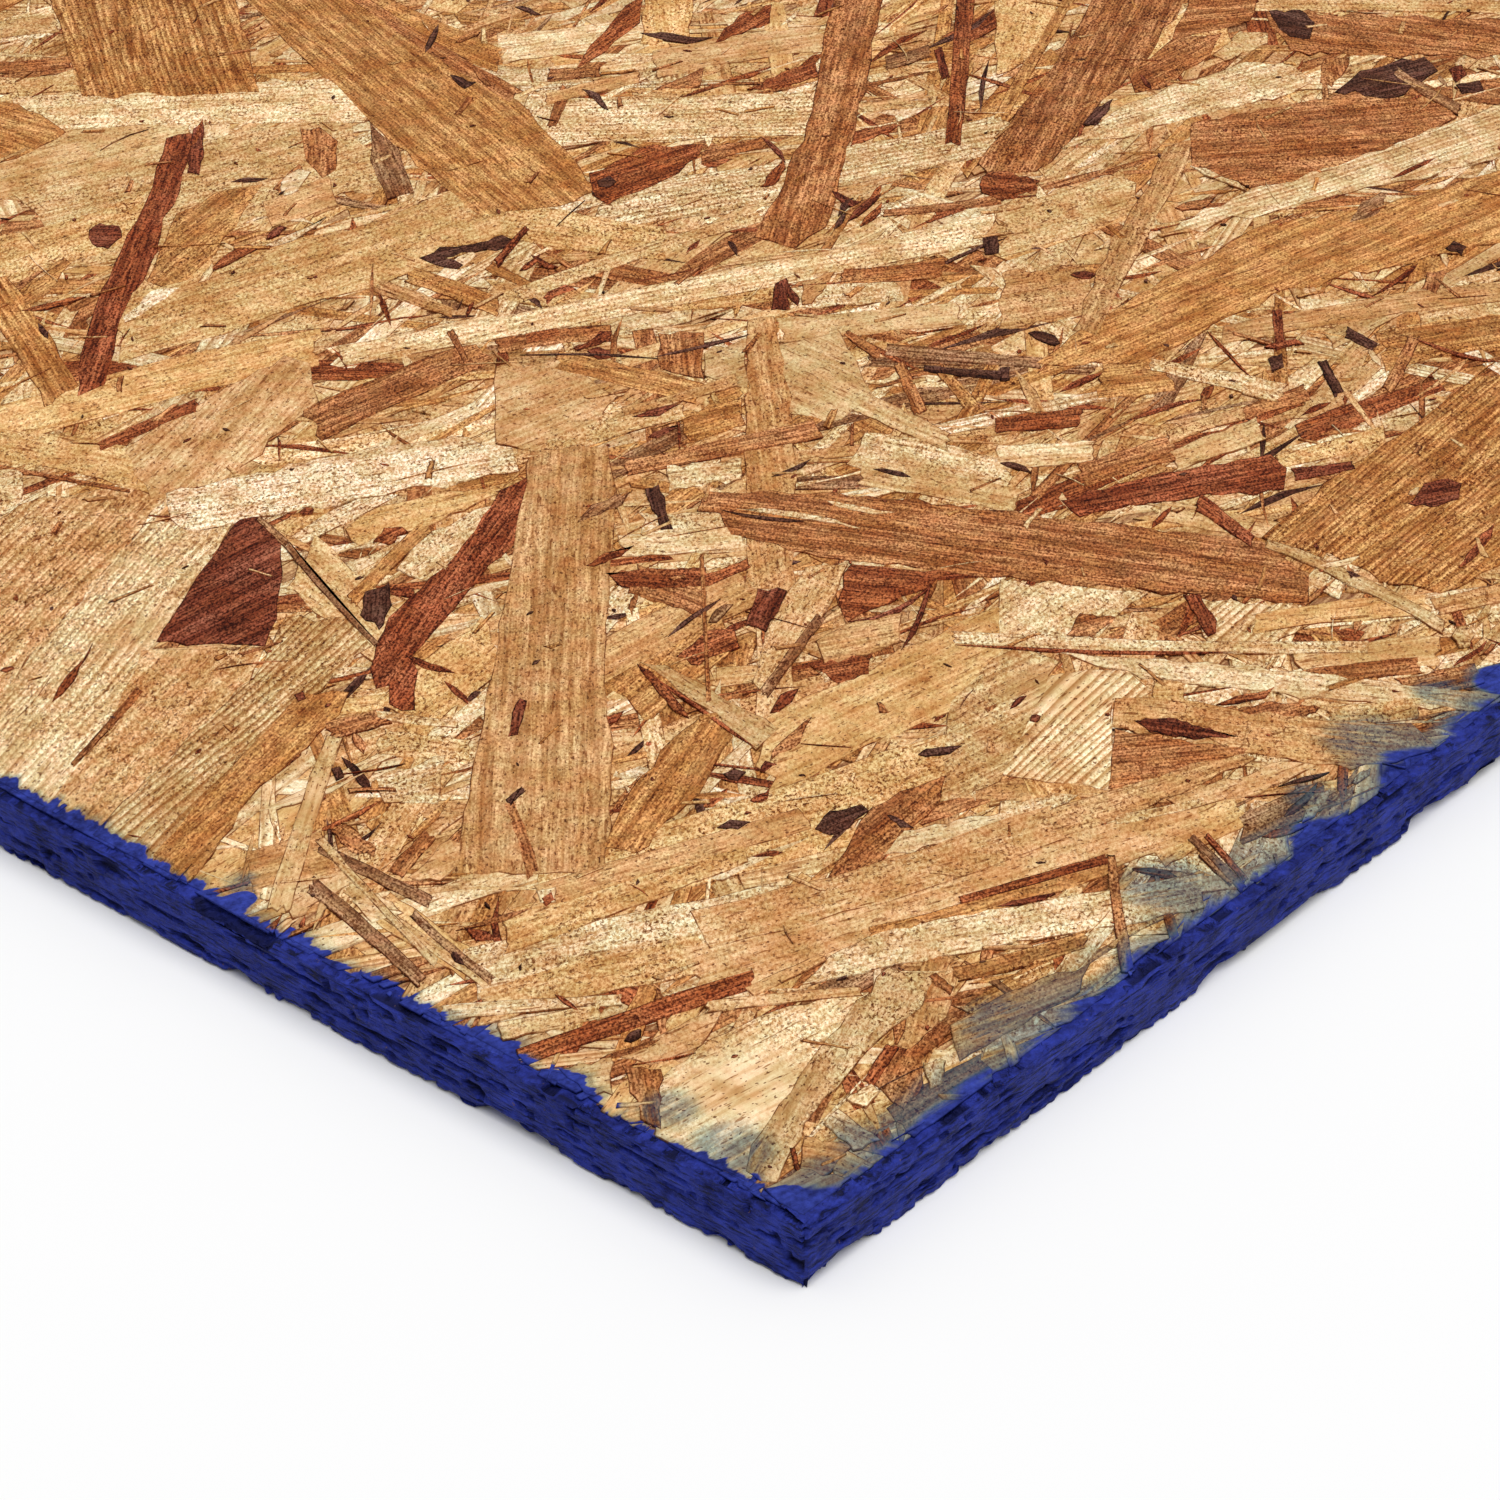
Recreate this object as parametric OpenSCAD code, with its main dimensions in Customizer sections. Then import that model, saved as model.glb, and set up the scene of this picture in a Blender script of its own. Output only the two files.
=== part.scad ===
// One sheet of oriented strand board, sawn square on four sides and sealed along its edges.
// It lies flat: length along X, width along Y, underside at Z = 0, centred on the origin.

/* [Sheet] */
// Length of the sheet, along the run of the face strands
sheet_length = 2440; // [600:10:3000]
// Width of the sheet, across the face strands
sheet_width = 1220; // [400:10:1500]
// Pressed thickness of the sheet
sheet_thickness = 11; // [6:0.5:25]
// Trim sawn off each side of the pressed mat
saw_trim = 20; // [5:1:40]

/* [Strands] */
// Thickness of one pressed strand
strand_thickness = 0.7; // [0.4:0.05:0.9]
// Widest turn of a strand away from the length of the sheet, in degrees
strand_turn = 25; // [0:1:35]

/* [Sawn edge] */
// Wear along the upper and lower arrises of the sawn edge
arris_wear = 0.4; // [0.1:0.05:0.8]
// Wear on the four upright corners
corner_wear = 0.8; // [0.2:0.1:2]
// Run of edge kept whole on each side of a corner
corner_run = 14; // [10:1:40]

/* [Torn strands] */
// Spacing of torn strands along an edge
tear_pitch = 58; // [50:1:200]
// Longest tear on the long edges, where the strands lie along the cut
side_tear_length = 36; // [10:1:40]
// Deepest tear into the long edges
side_tear_reach = 3; // [1:0.1:5]
// Widest tear on the short edges, where the strands are cut across
end_tear_width = 18; // [6:1:30]
// Deepest tear into the short edges
end_tear_reach = 6; // [2:0.1:10]
// Most strands that one tear lifts off
tear_strands = 3; // [1:1:3]

/* [Open seams] */
// Spacing of open seams along the core of an edge
seam_pitch = 52; // [40:1:200]
// Longest open seam between two core strands
seam_length = 24; // [6:1:30]
// Deepest open seam
seam_reach = 4; // [1:0.1:8]

/* [Pattern] */
// Number that picks the pattern of tears and seams
pattern_seed = 41; // [1:1:999]

/* [Hidden] */

strand_colour = "#c8955a";
sealer_colour = "#2a2f8c";

// How far each cutter stands clear of the faces that it cuts through
overcut = 1;
// Smallest tear or seam, as a share of the largest
least_share = 0.4;
// Share of the tears that open in the upper face, the rest open in the underside
upper_share = 0.4;
// Random numbers that one tear or seam uses
draws = 5;

tear_depth = tear_strands * strand_thickness;
core_height = sheet_thickness - 2 * tear_depth;
core_strands = max(1, floor(core_height / strand_thickness));

function between(low, high, share) = low + (high - low) * share;
function side_sign(share) = share < 0.5 ? -1 : 1;

// Number of places at a given pitch on an edge, clear of its corners
function places(run, pitch) = floor((run - 2 * corner_run) / pitch);

// Middle of place i, moved along the edge by as much as its free room allows
function place_x(run, pitch, i, length, share) =
    let (room = (run - 2 * corner_run) / places(run, pitch))
    (i + 0.5) * room - run / 2 + corner_run + (share - 0.5) * (room - length);

// Mat as it leaves the press, larger than the sheet by the saw trim
module pressed_mat() {
    color(strand_colour)
        translate([-sheet_length / 2 - saw_trim, -sheet_width / 2 - saw_trim, 0])
            cube([sheet_length + 2 * saw_trim, sheet_width + 2 * saw_trim, sheet_thickness]);
}

// Puts an edge's own frame, X along the edge and Y into the sheet, on each of two opposite edges
module on_long_edges() {
    for (turn = [0, 180])
        rotate([0, 0, turn])
            translate([0, -sheet_width / 2, 0])
                children();
}

module on_short_edges() {
    for (turn = [90, 270])
        rotate([0, 0, turn])
            translate([0, -sheet_length / 2, 0])
                children();
}

// Waste that one saw cut takes off, flared where the arrises have worn
module saw_cut(run) {
    far = saw_trim + overcut;
    flare = arris_wear + overcut;
    rotate([90, 0, 90])
        linear_extrude(height = run + 2 * far, center = true)
            polygon([
                [-far, -overcut],
                [flare, -overcut],
                [0, arris_wear],
                [0, sheet_thickness - arris_wear],
                [flare, sheet_thickness + overcut],
                [-far, sheet_thickness + overcut]
            ]);
}

module corner_cuts() {
    for (x = [-1, 1], y = [-1, 1])
        translate([x * sheet_length / 2, y * sheet_width / 2, -overcut])
            rotate([0, 0, 45])
                translate([-corner_wear, -corner_wear, 0] / sqrt(2))
                    cube([2, 2, 0] * corner_wear / sqrt(2) + [0, 0, sheet_thickness + 2 * overcut]);
}

// Sliver left by a strand that lay nearly along the saw cut
module side_tear(length, reach, hand) {
    scale([hand, 1])
        polygon([
            [-length / 2, -overcut],
            [length / 2, -overcut],
            [length / 2, 0],
            [length * 0.42, reach * 0.8],
            [length * 0.3, reach],
            [length * 0.02, reach * 0.7],
            [-length / 2, 0]
        ]);
}

// Pocket left by a strand that was pulled out endways, leaning with the strand
module end_tear(width, reach, lean) {
    shift = reach * tan(lean);
    polygon([
        [-width / 2, -overcut],
        [width / 2, -overcut],
        [width / 2, 0],
        [width * 0.46 + shift, reach * 0.85],
        [width * 0.2 + shift, reach],
        [-width * 0.1 + shift, reach * 0.75],
        [-width * 0.44 + shift, reach * 0.9],
        [-width / 2, 0]
    ]);
}

// Lens of air between two core strands
module seam(length, reach) {
    polygon([
        [-length / 2, -overcut],
        [length / 2, -overcut],
        [length / 2, 0],
        [length * 0.2, reach],
        [-length * 0.25, reach * 0.8],
        [-length / 2, 0]
    ]);
}

// Height at which a tear of a given depth starts, on the upper face or the underside
function tear_z(depth, share) = share < upper_share ? sheet_thickness - depth : -overcut;

module long_edge_tears(run, seed) {
    count = places(run, tear_pitch);
    luck = rands(0, 1, draws * max(count, 1), seed);
    for (i = [0 : 1 : count - 1]) {
        draw = draws * i;
        length = side_tear_length * between(least_share, 1, luck[draw]);
        reach = side_tear_reach * between(least_share, 1, luck[draw + 1]);
        depth = strand_thickness * ceil(tear_strands * luck[draw + 2]);
        x = place_x(run, tear_pitch, i, length, luck[draw + 3]);
        translate([x, 0, tear_z(depth, luck[draw + 4])])
            linear_extrude(height = depth + overcut)
                side_tear(length, reach, side_sign(luck[draw + 1]));
    }
}

module short_edge_tears(run, seed) {
    count = places(run, tear_pitch);
    luck = rands(0, 1, draws * max(count, 1), seed);
    for (i = [0 : 1 : count - 1]) {
        draw = draws * i;
        width = end_tear_width * between(least_share, 1, luck[draw]);
        reach = end_tear_reach * between(least_share, 1, luck[draw + 1]);
        depth = strand_thickness * ceil(tear_strands * luck[draw + 2]);
        x = place_x(run, tear_pitch, i, width, luck[draw + 3]);
        translate([x, 0, tear_z(depth, luck[draw + 4])])
            linear_extrude(height = depth + overcut)
                end_tear(width, reach, between(-strand_turn, strand_turn, luck[draw + 2]));
    }
}

module open_seams(run, seed) {
    count = places(run, seam_pitch);
    luck = rands(0, 1, draws * max(count, 1), seed);
    for (i = [0 : 1 : count - 1]) {
        draw = draws * i;
        length = seam_length * between(least_share, 1, luck[draw]);
        reach = seam_reach * between(least_share, 1, luck[draw + 1]);
        layer = floor(core_strands * luck[draw + 2]);
        x = place_x(run, seam_pitch, i, length, luck[draw + 3]);
        translate([x, 0, tear_depth + layer * strand_thickness])
            linear_extrude(height = strand_thickness)
                seam(length, reach);
    }
}

module osb_panel() {
    difference() {
        pressed_mat();
        color(sealer_colour) {
            on_long_edges() saw_cut(sheet_length);
            on_short_edges() saw_cut(sheet_width);
            corner_cuts();
            on_long_edges() long_edge_tears(sheet_length, pattern_seed);
            on_short_edges() short_edge_tears(sheet_width, pattern_seed + 1);
            on_long_edges() open_seams(sheet_length, pattern_seed + 2);
            on_short_edges() open_seams(sheet_width, pattern_seed + 3);
        }
    }
}

osb_panel();
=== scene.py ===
"""One sheet of oriented strand board, dressed with its strands, its sawn edges and their blue sealer."""
import math

import bmesh
import bpy
import numpy as np
from mathutils import Matrix, Vector
from mathutils.bvhtree import BVHTree


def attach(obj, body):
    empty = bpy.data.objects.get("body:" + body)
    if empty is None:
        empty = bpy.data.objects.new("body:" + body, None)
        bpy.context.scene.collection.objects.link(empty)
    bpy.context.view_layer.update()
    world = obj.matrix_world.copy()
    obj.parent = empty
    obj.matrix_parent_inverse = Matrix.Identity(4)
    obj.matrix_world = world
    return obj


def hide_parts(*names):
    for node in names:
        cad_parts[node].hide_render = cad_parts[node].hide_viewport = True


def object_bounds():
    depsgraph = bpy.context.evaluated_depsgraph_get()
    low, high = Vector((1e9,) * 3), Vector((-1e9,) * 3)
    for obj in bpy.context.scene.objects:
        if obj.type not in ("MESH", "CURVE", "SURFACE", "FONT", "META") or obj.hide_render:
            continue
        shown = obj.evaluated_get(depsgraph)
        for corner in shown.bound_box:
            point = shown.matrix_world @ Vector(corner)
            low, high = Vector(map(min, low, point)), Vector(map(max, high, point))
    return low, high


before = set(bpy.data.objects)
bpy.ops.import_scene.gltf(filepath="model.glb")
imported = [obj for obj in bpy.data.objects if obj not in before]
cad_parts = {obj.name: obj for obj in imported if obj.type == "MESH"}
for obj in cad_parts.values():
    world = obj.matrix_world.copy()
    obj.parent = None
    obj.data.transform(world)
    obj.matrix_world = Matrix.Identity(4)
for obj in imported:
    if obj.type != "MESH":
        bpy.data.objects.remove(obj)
cad_low, cad_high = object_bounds()

MM = 0.001
LENGTH, WIDTH, THICKNESS = cad_high - cad_low
HALF_LENGTH = LENGTH / 2
HALF_WIDTH = WIDTH / 2
STRAND_SEED = 11
EDGE_SEED = 5

# Measures of the photo, in pixels of its 1500 by 1500 frame
PHOTO_SIZE = 1500
PHOTO_MIDDLE = PHOTO_SIZE / 2
CORNER_PX = (805, 1292)
CORNER_HEIGHT_PX = 61
LEFT_EDGE_SLOPE = 0.549
RIGHT_EDGE_SLOPE = -0.757
HORIZON_PX = -2500
SENSOR_MM = 36

# Strand tones, as sRGB
TONES = {
    "milk": (254, 236, 202),
    "cream": (246, 223, 180),
    "straw": (231, 197, 145),
    "golden": (236, 197, 139),
    "honey": (195, 141, 83),
    "salmon": (232, 193, 143),
    "tan": (214, 168, 114),
    "olive": (222, 190, 140),
    "grey": (156, 113, 76),
    "brown": (171, 113, 67),
    "russet": (146, 80, 43),
    "umber": (136, 71, 40),
    "maroon": (117, 60, 38),
    "bark": (84, 51, 37),
}
# How often each tone turns up among the plain strands
TONE_SHARES = {
    "milk": 0.05, "cream": 0.23, "straw": 0.12, "golden": 0.13, "honey": 0.13, "salmon": 0.1, "tan": 0.1,
    "olive": 0.02, "grey": 0.02, "brown": 0.07, "russet": 0.025, "umber": 0.005,
}
SPLINTER_TONES = {
    "cream": 0.2, "straw": 0.12, "honey": 0.1, "tan": 0.14, "brown": 0.16, "russet": 0.12, "umber": 0.08,
    "bark": 0.05, "grey": 0.03,
}
FLAKE_TONES = {"straw": 0.25, "honey": 0.25, "tan": 0.3, "brown": 0.2}
SPECK_TONES = {"bark": 0.4, "umber": 0.3, "maroon": 0.3}


def linear(colour):
    """Linear colour of an sRGB one that is given from 0 to 255."""
    c = np.asarray(colour, float) / 255
    return np.where(c <= 0.04045, c / 12.92, ((c + 0.055) / 1.055) ** 2.4)


class PhotoView:
    """Camera worked out from the slopes of the two lower edges, the near corner and the horizon."""

    def __init__(self):
        near = Vector((-HALF_LENGTH, -HALF_WIDTH, 0))
        drop = PHOTO_MIDDLE - HORIZON_PX
        corner_x, corner_y = CORNER_PX
        left = corner_x + (HORIZON_PX - corner_y) / LEFT_EDGE_SLOPE - PHOTO_MIDDLE
        right = corner_x + (HORIZON_PX - corner_y) / RIGHT_EDGE_SLOPE - PHOTO_MIDDLE
        self.focal = math.sqrt(-left * right - drop**2)
        pitch = math.atan2(drop, self.focal)
        heading = math.atan2(right * math.cos(pitch), self.focal)
        level = Vector((math.cos(heading), math.sin(heading), 0))
        up = Vector((0, 0, 1))
        self.forward = level * math.cos(pitch) - up * math.sin(pitch)
        self.right = self.forward.cross(up).normalized()
        self.up = self.right.cross(self.forward)
        ray = self.ray(*CORNER_PX)
        slack = (self.ray(corner_x, corner_y - CORNER_HEIGHT_PX) - ray).dot(self.up)
        depth = THICKNESS * up.dot(self.up) / slack
        shift = THICKNESS * up.dot(self.forward) * (corner_y - CORNER_HEIGHT_PX - PHOTO_MIDDLE) / self.focal
        depth += shift / slack
        self.eye = near - ray * depth

    def ray(self, x, y):
        across = (x - PHOTO_MIDDLE) / self.focal
        down = (y - PHOTO_MIDDLE) / self.focal
        return self.forward + self.right * across - self.up * down

    def on_face(self, x, y):
        """Place on the upper face that shows at a pixel of the photo."""
        ray = self.ray(x, y)
        hit = self.eye + ray * ((THICKNESS - self.eye.z) / ray.z)
        return hit.x, hit.y

    def shows(self, places, margin):
        """Which of these places on the upper face the photo shows, with a margin of pixels around it."""
        away = np.c_[places, np.full(len(places), THICKNESS)] - np.array(self.eye)
        depth = away @ np.array(self.forward)
        x = away @ np.array(self.right) / depth * self.focal
        y = away @ np.array(self.up) / depth * self.focal
        return (np.maximum(abs(x), abs(y)) < PHOTO_MIDDLE + margin) & (depth > 0)

    def add_camera(self):
        bpy.ops.object.camera_add(location=self.eye)
        camera = bpy.context.object
        camera.name = "photo_camera"
        turn = Matrix((self.right, self.up, -self.forward)).transposed()
        camera.rotation_euler = turn.to_euler()
        camera.data.sensor_width = SENSOR_MM
        camera.data.lens = self.focal / PHOTO_SIZE * SENSOR_MM
        camera.data.clip_start = 0.01
        camera.data.clip_end = 100
        bpy.context.scene.camera = camera


photo = PhotoView()

# Strand shapes

STRAND_THICKNESS = 0.35 * MM
RIM_WIDTH = 0.22 * MM
RIM_DROP = 0.04 * MM
SMALLEST_AREA = 0.05 * MM**2
# A strip's own map for baking: rows, and the room around each row for strands that reach out of it
MAP_ROWS = 3
MAP_MARGIN = 70 * MM
# Millimetres by which a strand's grain is moved at the most, so that no two look alike
GRAIN_SHIFT = 400


def signed_area(points):
    x, y = points.T
    return 0.5 * float(np.sum(x * np.roll(y, -1) - np.roll(x, -1) * y))


def ragged_outline(rng, length, width, end_width, side_points, ragged, teeth=1):
    """Outline of one strand from (0, 0) along +X, with uneven sides and slanted, torn ends."""
    along = np.linspace(0, length, side_points)
    half = np.interp(along, [0, length], [width / 2, end_width / 2])
    bow = rng.normal(0, 0.012 * length) * (1 - (2 * along / length - 1) ** 2)
    lower = bow - half * (1 + ragged * rng.uniform(-0.3, 0.15, side_points))
    upper = bow + half * (1 + ragged * rng.uniform(-0.3, 0.15, side_points))
    slant = rng.uniform(-0.35, 0.35, 2) * ragged * np.minimum([width, end_width], 0.4 * length)
    low_x, high_x = along.copy(), along.copy()
    low_x[[0, -1]] += slant
    high_x[[0, -1]] -= slant
    torn = ragged * np.minimum([width, end_width], 0.3 * length)
    rise = (np.arange(teeth) + rng.uniform(0.7, 1.3, teeth)) / (teeth + 1)
    far_x = np.interp(rise, [0, 1], [low_x[-1], high_x[-1]]) - torn[1] * rng.uniform(-0.25, 0.4, teeth)
    near_x = np.interp(rise, [0, 1], [low_x[0], high_x[0]]) + torn[0] * rng.uniform(-0.25, 0.4, teeth)
    far = np.c_[far_x, np.interp(rise, [0, 1], [lower[-1], upper[-1]])]
    near = np.c_[near_x, np.interp(rise, [0, 1], [lower[0], upper[0]])]
    return np.vstack([np.c_[low_x, lower], far, np.c_[high_x, upper][::-1], near[::-1]])


def splinter_outline(rng, length, width, side_points=1):
    """Outline of a splinter with pointed ends, from (0, 0) along +X."""
    steps = np.arange(1, side_points + 1)
    at = (steps + rng.uniform(-0.25, 0.25, side_points)) / (side_points + 1)
    bow = rng.normal(0, 0.03 * length) * np.sin(np.pi * at)
    half = width / 2 * np.sqrt(np.sin(np.pi * at))
    slip = 0.25 * min(width, length / (side_points + 1))
    low_x, high_x = (at * length + rng.uniform(-slip, slip, side_points) for _ in range(2))
    low_y = bow - half * rng.uniform(0.65, 1.1, side_points)
    high_y = bow + half * rng.uniform(0.65, 1.1, side_points)
    tip = rng.normal(0, width / 3)
    return np.vstack([[[0, 0]], np.c_[low_x, low_y], [[length, tip]], np.c_[high_x, high_y][::-1]])


def roughened(rng, corners, spacing, wobble):
    """A polygon with more points along its sides, each moved a little to one side."""
    points = []
    for a, b in zip(corners, np.roll(corners, -1, 0)):
        steps = max(1, round(float(np.hypot(*(b - a))) / spacing))
        across = np.array([a[1] - b[1], b[0] - a[0]]) / max(float(np.hypot(*(b - a))), 1e-9)
        points.append(a)
        for i in range(1, steps):
            points.append(a + (b - a) * i / steps + across * rng.normal(0, wobble))
    return np.array(points)


def clipped(points, low, high):
    """Points of a polygon cut back to the rectangle between low and high."""
    for axis, limit, sign in ((0, low[0], 1), (0, high[0], -1), (1, low[1], 1), (1, high[1], -1)):
        inside = sign * (points[:, axis] - limit)
        if inside.min() >= 0:
            continue
        kept = []
        for i in range(len(points)):
            a, b = points[i], points[(i + 1) % len(points)]
            a_in, b_in = inside[i], inside[(i + 1) % len(points)]
            if a_in >= 0:
                kept.append(a)
            if (a_in >= 0) != (b_in >= 0):
                kept.append(a + (b - a) * a_in / (a_in - b_in))
        if len(kept) < 3:
            return np.empty((0, 2))
        points = np.array(kept)
    return points


def inset(points, distance):
    """Outline moved inwards by a distance, with its corners kept."""
    edge = np.roll(points, -1, 0) - points
    size = np.maximum(np.linalg.norm(edge, axis=1, keepdims=True), 1e-9)
    normal = np.c_[-edge[:, 1], edge[:, 0]] / size
    before = np.roll(normal, 1, 0)
    spread = 1 + np.sum(normal * before, axis=1, keepdims=True)
    return points + distance * (normal + before) / np.maximum(spread, 0.6)


class Strand:
    """One strand: its outline on the sheet, the way its grain runs, its tone and how deep it lies."""

    def __init__(self, outline, angle, tone, depth, figure=0.0, soak=0.3, fine=False):
        self.outline = np.asarray(outline, float)
        self.angle = angle
        self.tone = tone
        self.depth = depth
        self.figure = figure
        self.soak = soak
        self.fine = fine


class StrandPile:
    """Thin slabs that are joined into one mesh, the deepest first, over one strip of the sheet."""

    def __init__(self, rng, low_y, high_y):
        self.rng = rng
        self.low_y, self.high_y = low_y, high_y
        self.count = 0
        self.points, self.corners, self.sizes = [], [], []
        self.grain, self.folds, self.tones, self.habits = [], [], [], []

    def folded(self, flat):
        """Places on a square map, with the long strip cut into rows one above the other."""
        row = int(np.clip((flat[:, 0].mean() / LENGTH + 0.5) * MAP_ROWS, 0, MAP_ROWS - 1))
        run = LENGTH / MAP_ROWS
        u = (flat[:, 0] + HALF_LENGTH - row * run + MAP_MARGIN) / (run + 2 * MAP_MARGIN)
        v = (flat[:, 1] - self.low_y + MAP_MARGIN) / (self.high_y - self.low_y + 2 * MAP_MARGIN)
        return np.c_[np.clip(u, 0, 1), (row + np.clip(v, 0, 1)) / MAP_ROWS]

    def add_slab(self, rings, heights, rims, angle, tone, figure=0.0, soak=0.3):
        """A closed slab through rings of points that are given from its underside to its top."""
        n = len(rings[0])
        ring = np.arange(n)
        turned = np.roll(ring, -1)
        self.corners.append(ring[::-1] + self.count)
        for i in range(len(rings) - 1):
            low, high = self.count + i * n, self.count + (i + 1) * n
            self.corners.append(np.c_[ring + low, turned + low, turned + high, ring + high].ravel())
        self.corners.append(ring + self.count + (len(rings) - 1) * n)
        self.sizes.append([n] + [4] * n * (len(rings) - 1) + [n])
        flat = np.vstack(rings)
        self.points.append(np.c_[flat, np.concatenate(heights)])
        cos, sin = math.cos(angle), math.sin(angle)
        local = (flat - rings[0].mean(0)) @ np.array([[cos, -sin], [sin, cos]]) / MM
        self.grain.append(local + self.rng.uniform(-GRAIN_SHIFT, GRAIN_SHIFT, 2))
        self.folds.append(self.folded(flat))
        total = len(flat)
        self.tones.append(np.tile([*tone, 1.0], (total, 1)))
        habits = np.tile([figure, self.rng.uniform(), soak, 0.0], (total, 1))
        # The rim value marks the rings of a strand's sides, which the finish darkens as painted shade.
        habits[:, 3] = np.repeat(rims, n)
        self.habits.append(habits)
        self.count += total

    def add_strand(self, strand, limit):
        """A face strand, cut back from the sealed edge and laid at its depth below the face."""
        outline = clipped(strand.outline, -limit, limit)
        if len(outline) < 3:
            return
        area = signed_area(outline)
        if area < 0:
            outline = outline[::-1]
        if abs(area) < SMALLEST_AREA:
            return
        girth = np.linalg.norm(np.roll(outline, -1, 0) - outline, axis=1).sum()
        top = inset(outline, min(RIM_WIDTH, 0.5 * abs(area) / girth))
        top_z = np.full(len(outline), THICKNESS - strand.depth)
        base_z = top_z - STRAND_THICKNESS
        if strand.fine:
            rings, heights, rims = (outline, outline, top), (base_z, top_z - RIM_DROP, top_z), (1, 1, 0)
        else:
            rings, heights, rims = (outline, top), (base_z, top_z), (1, 0)
        self.add_slab(rings, heights, rims, strand.angle, strand.tone, strand.figure, strand.soak)

    def build(self, name, finish):
        points = np.concatenate(self.points)
        corners = np.concatenate(self.corners)
        sizes = np.concatenate(self.sizes)
        mesh = bpy.data.meshes.new(name)
        mesh.vertices.add(len(points))
        mesh.loops.add(len(corners))
        mesh.polygons.add(len(sizes))
        mesh.vertices.foreach_set("co", points.ravel())
        mesh.loops.foreach_set("vertex_index", corners)
        mesh.polygons.foreach_set("loop_start", np.concatenate([[0], np.cumsum(sizes)[:-1]]))
        mesh.update(calc_edges=True)
        grain = np.concatenate(self.grain)[corners]
        mesh.uv_layers.new(name="grain").uv.foreach_set("vector", grain.astype(np.float32).ravel())
        folds = np.concatenate(self.folds)[corners]
        mesh.uv_layers.new(name="OFBake").uv.foreach_set("vector", folds.astype(np.float32).ravel())
        tones = mesh.attributes.new("tone", "FLOAT_COLOR", "POINT")
        tones.data.foreach_set("color", np.concatenate(self.tones).astype(np.float32).ravel())
        habits = np.concatenate(self.habits).astype(np.float32)
        for i, label in enumerate(("figure", "luck", "soak", "rim")):
            mesh.attributes.new(label, "FLOAT", "POINT").data.foreach_set("value", habits[:, i].copy())
        mesh.materials.append(finish)
        piece = bpy.data.objects.new(name, mesh)
        bpy.context.scene.collection.objects.link(piece)
        return piece


class Mark:
    """A strand as the photo shows it: its shape in pixels, and the level of the pile that it lies on."""

    def __init__(self, kind, tone, grain, shape, level, figure, soak):
        self.kind = kind
        self.tone = tone
        self.grain = grain
        self.shape = shape
        self.level = level
        self.figure = figure
        self.soak = soak

    def pixels(self, rng):
        if self.kind == "chip":
            corners = np.array(self.shape, float)
            span = float(np.ptp(corners, 0).min())
            return roughened(rng, corners, np.clip(span / 4, 6, 16), np.clip(span / 25, 0.4, 1.7))
        start, end, *widths = self.shape
        run = np.subtract(end, start)
        length = float(np.hypot(*run))
        if self.kind == "band":
            local = ragged_outline(rng, length, *widths, 9, 0.5, teeth=4)
        else:
            local = splinter_outline(rng, length, *widths, side_points=3)
            if widths[0] >= 7:
                local = roughened(rng, local, max(8, length / 10), min(0.9, 0.05 * widths[0]))
        way = run / length
        return start + local @ np.array([way, [-way[1], way[0]]])


# Strands that stand out on the face, by the pixels of the photo where they show


def band(tone, start, end, width, end_width=None, level=1, figure=0.0, soak=0.3):
    """A long strand from one pixel to another."""
    run = np.subtract(end, start)
    return Mark("band", tone, run, (start, end, width, end_width or width), level, figure, soak)


def chip(tone, grain, *corners, level=1, figure=0.0, soak=0.3):
    """A strand with the corners given, and its grain along a direction in the photo."""
    return Mark("chip", tone, grain, corners, level, figure, soak)


def splinter(tone, start, end, width, level=2, soak=0.3):
    """A thin strand with pointed ends."""
    return Mark("splinter", tone, np.subtract(end, start), (start, end, width), level, 0.0, soak)


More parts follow.
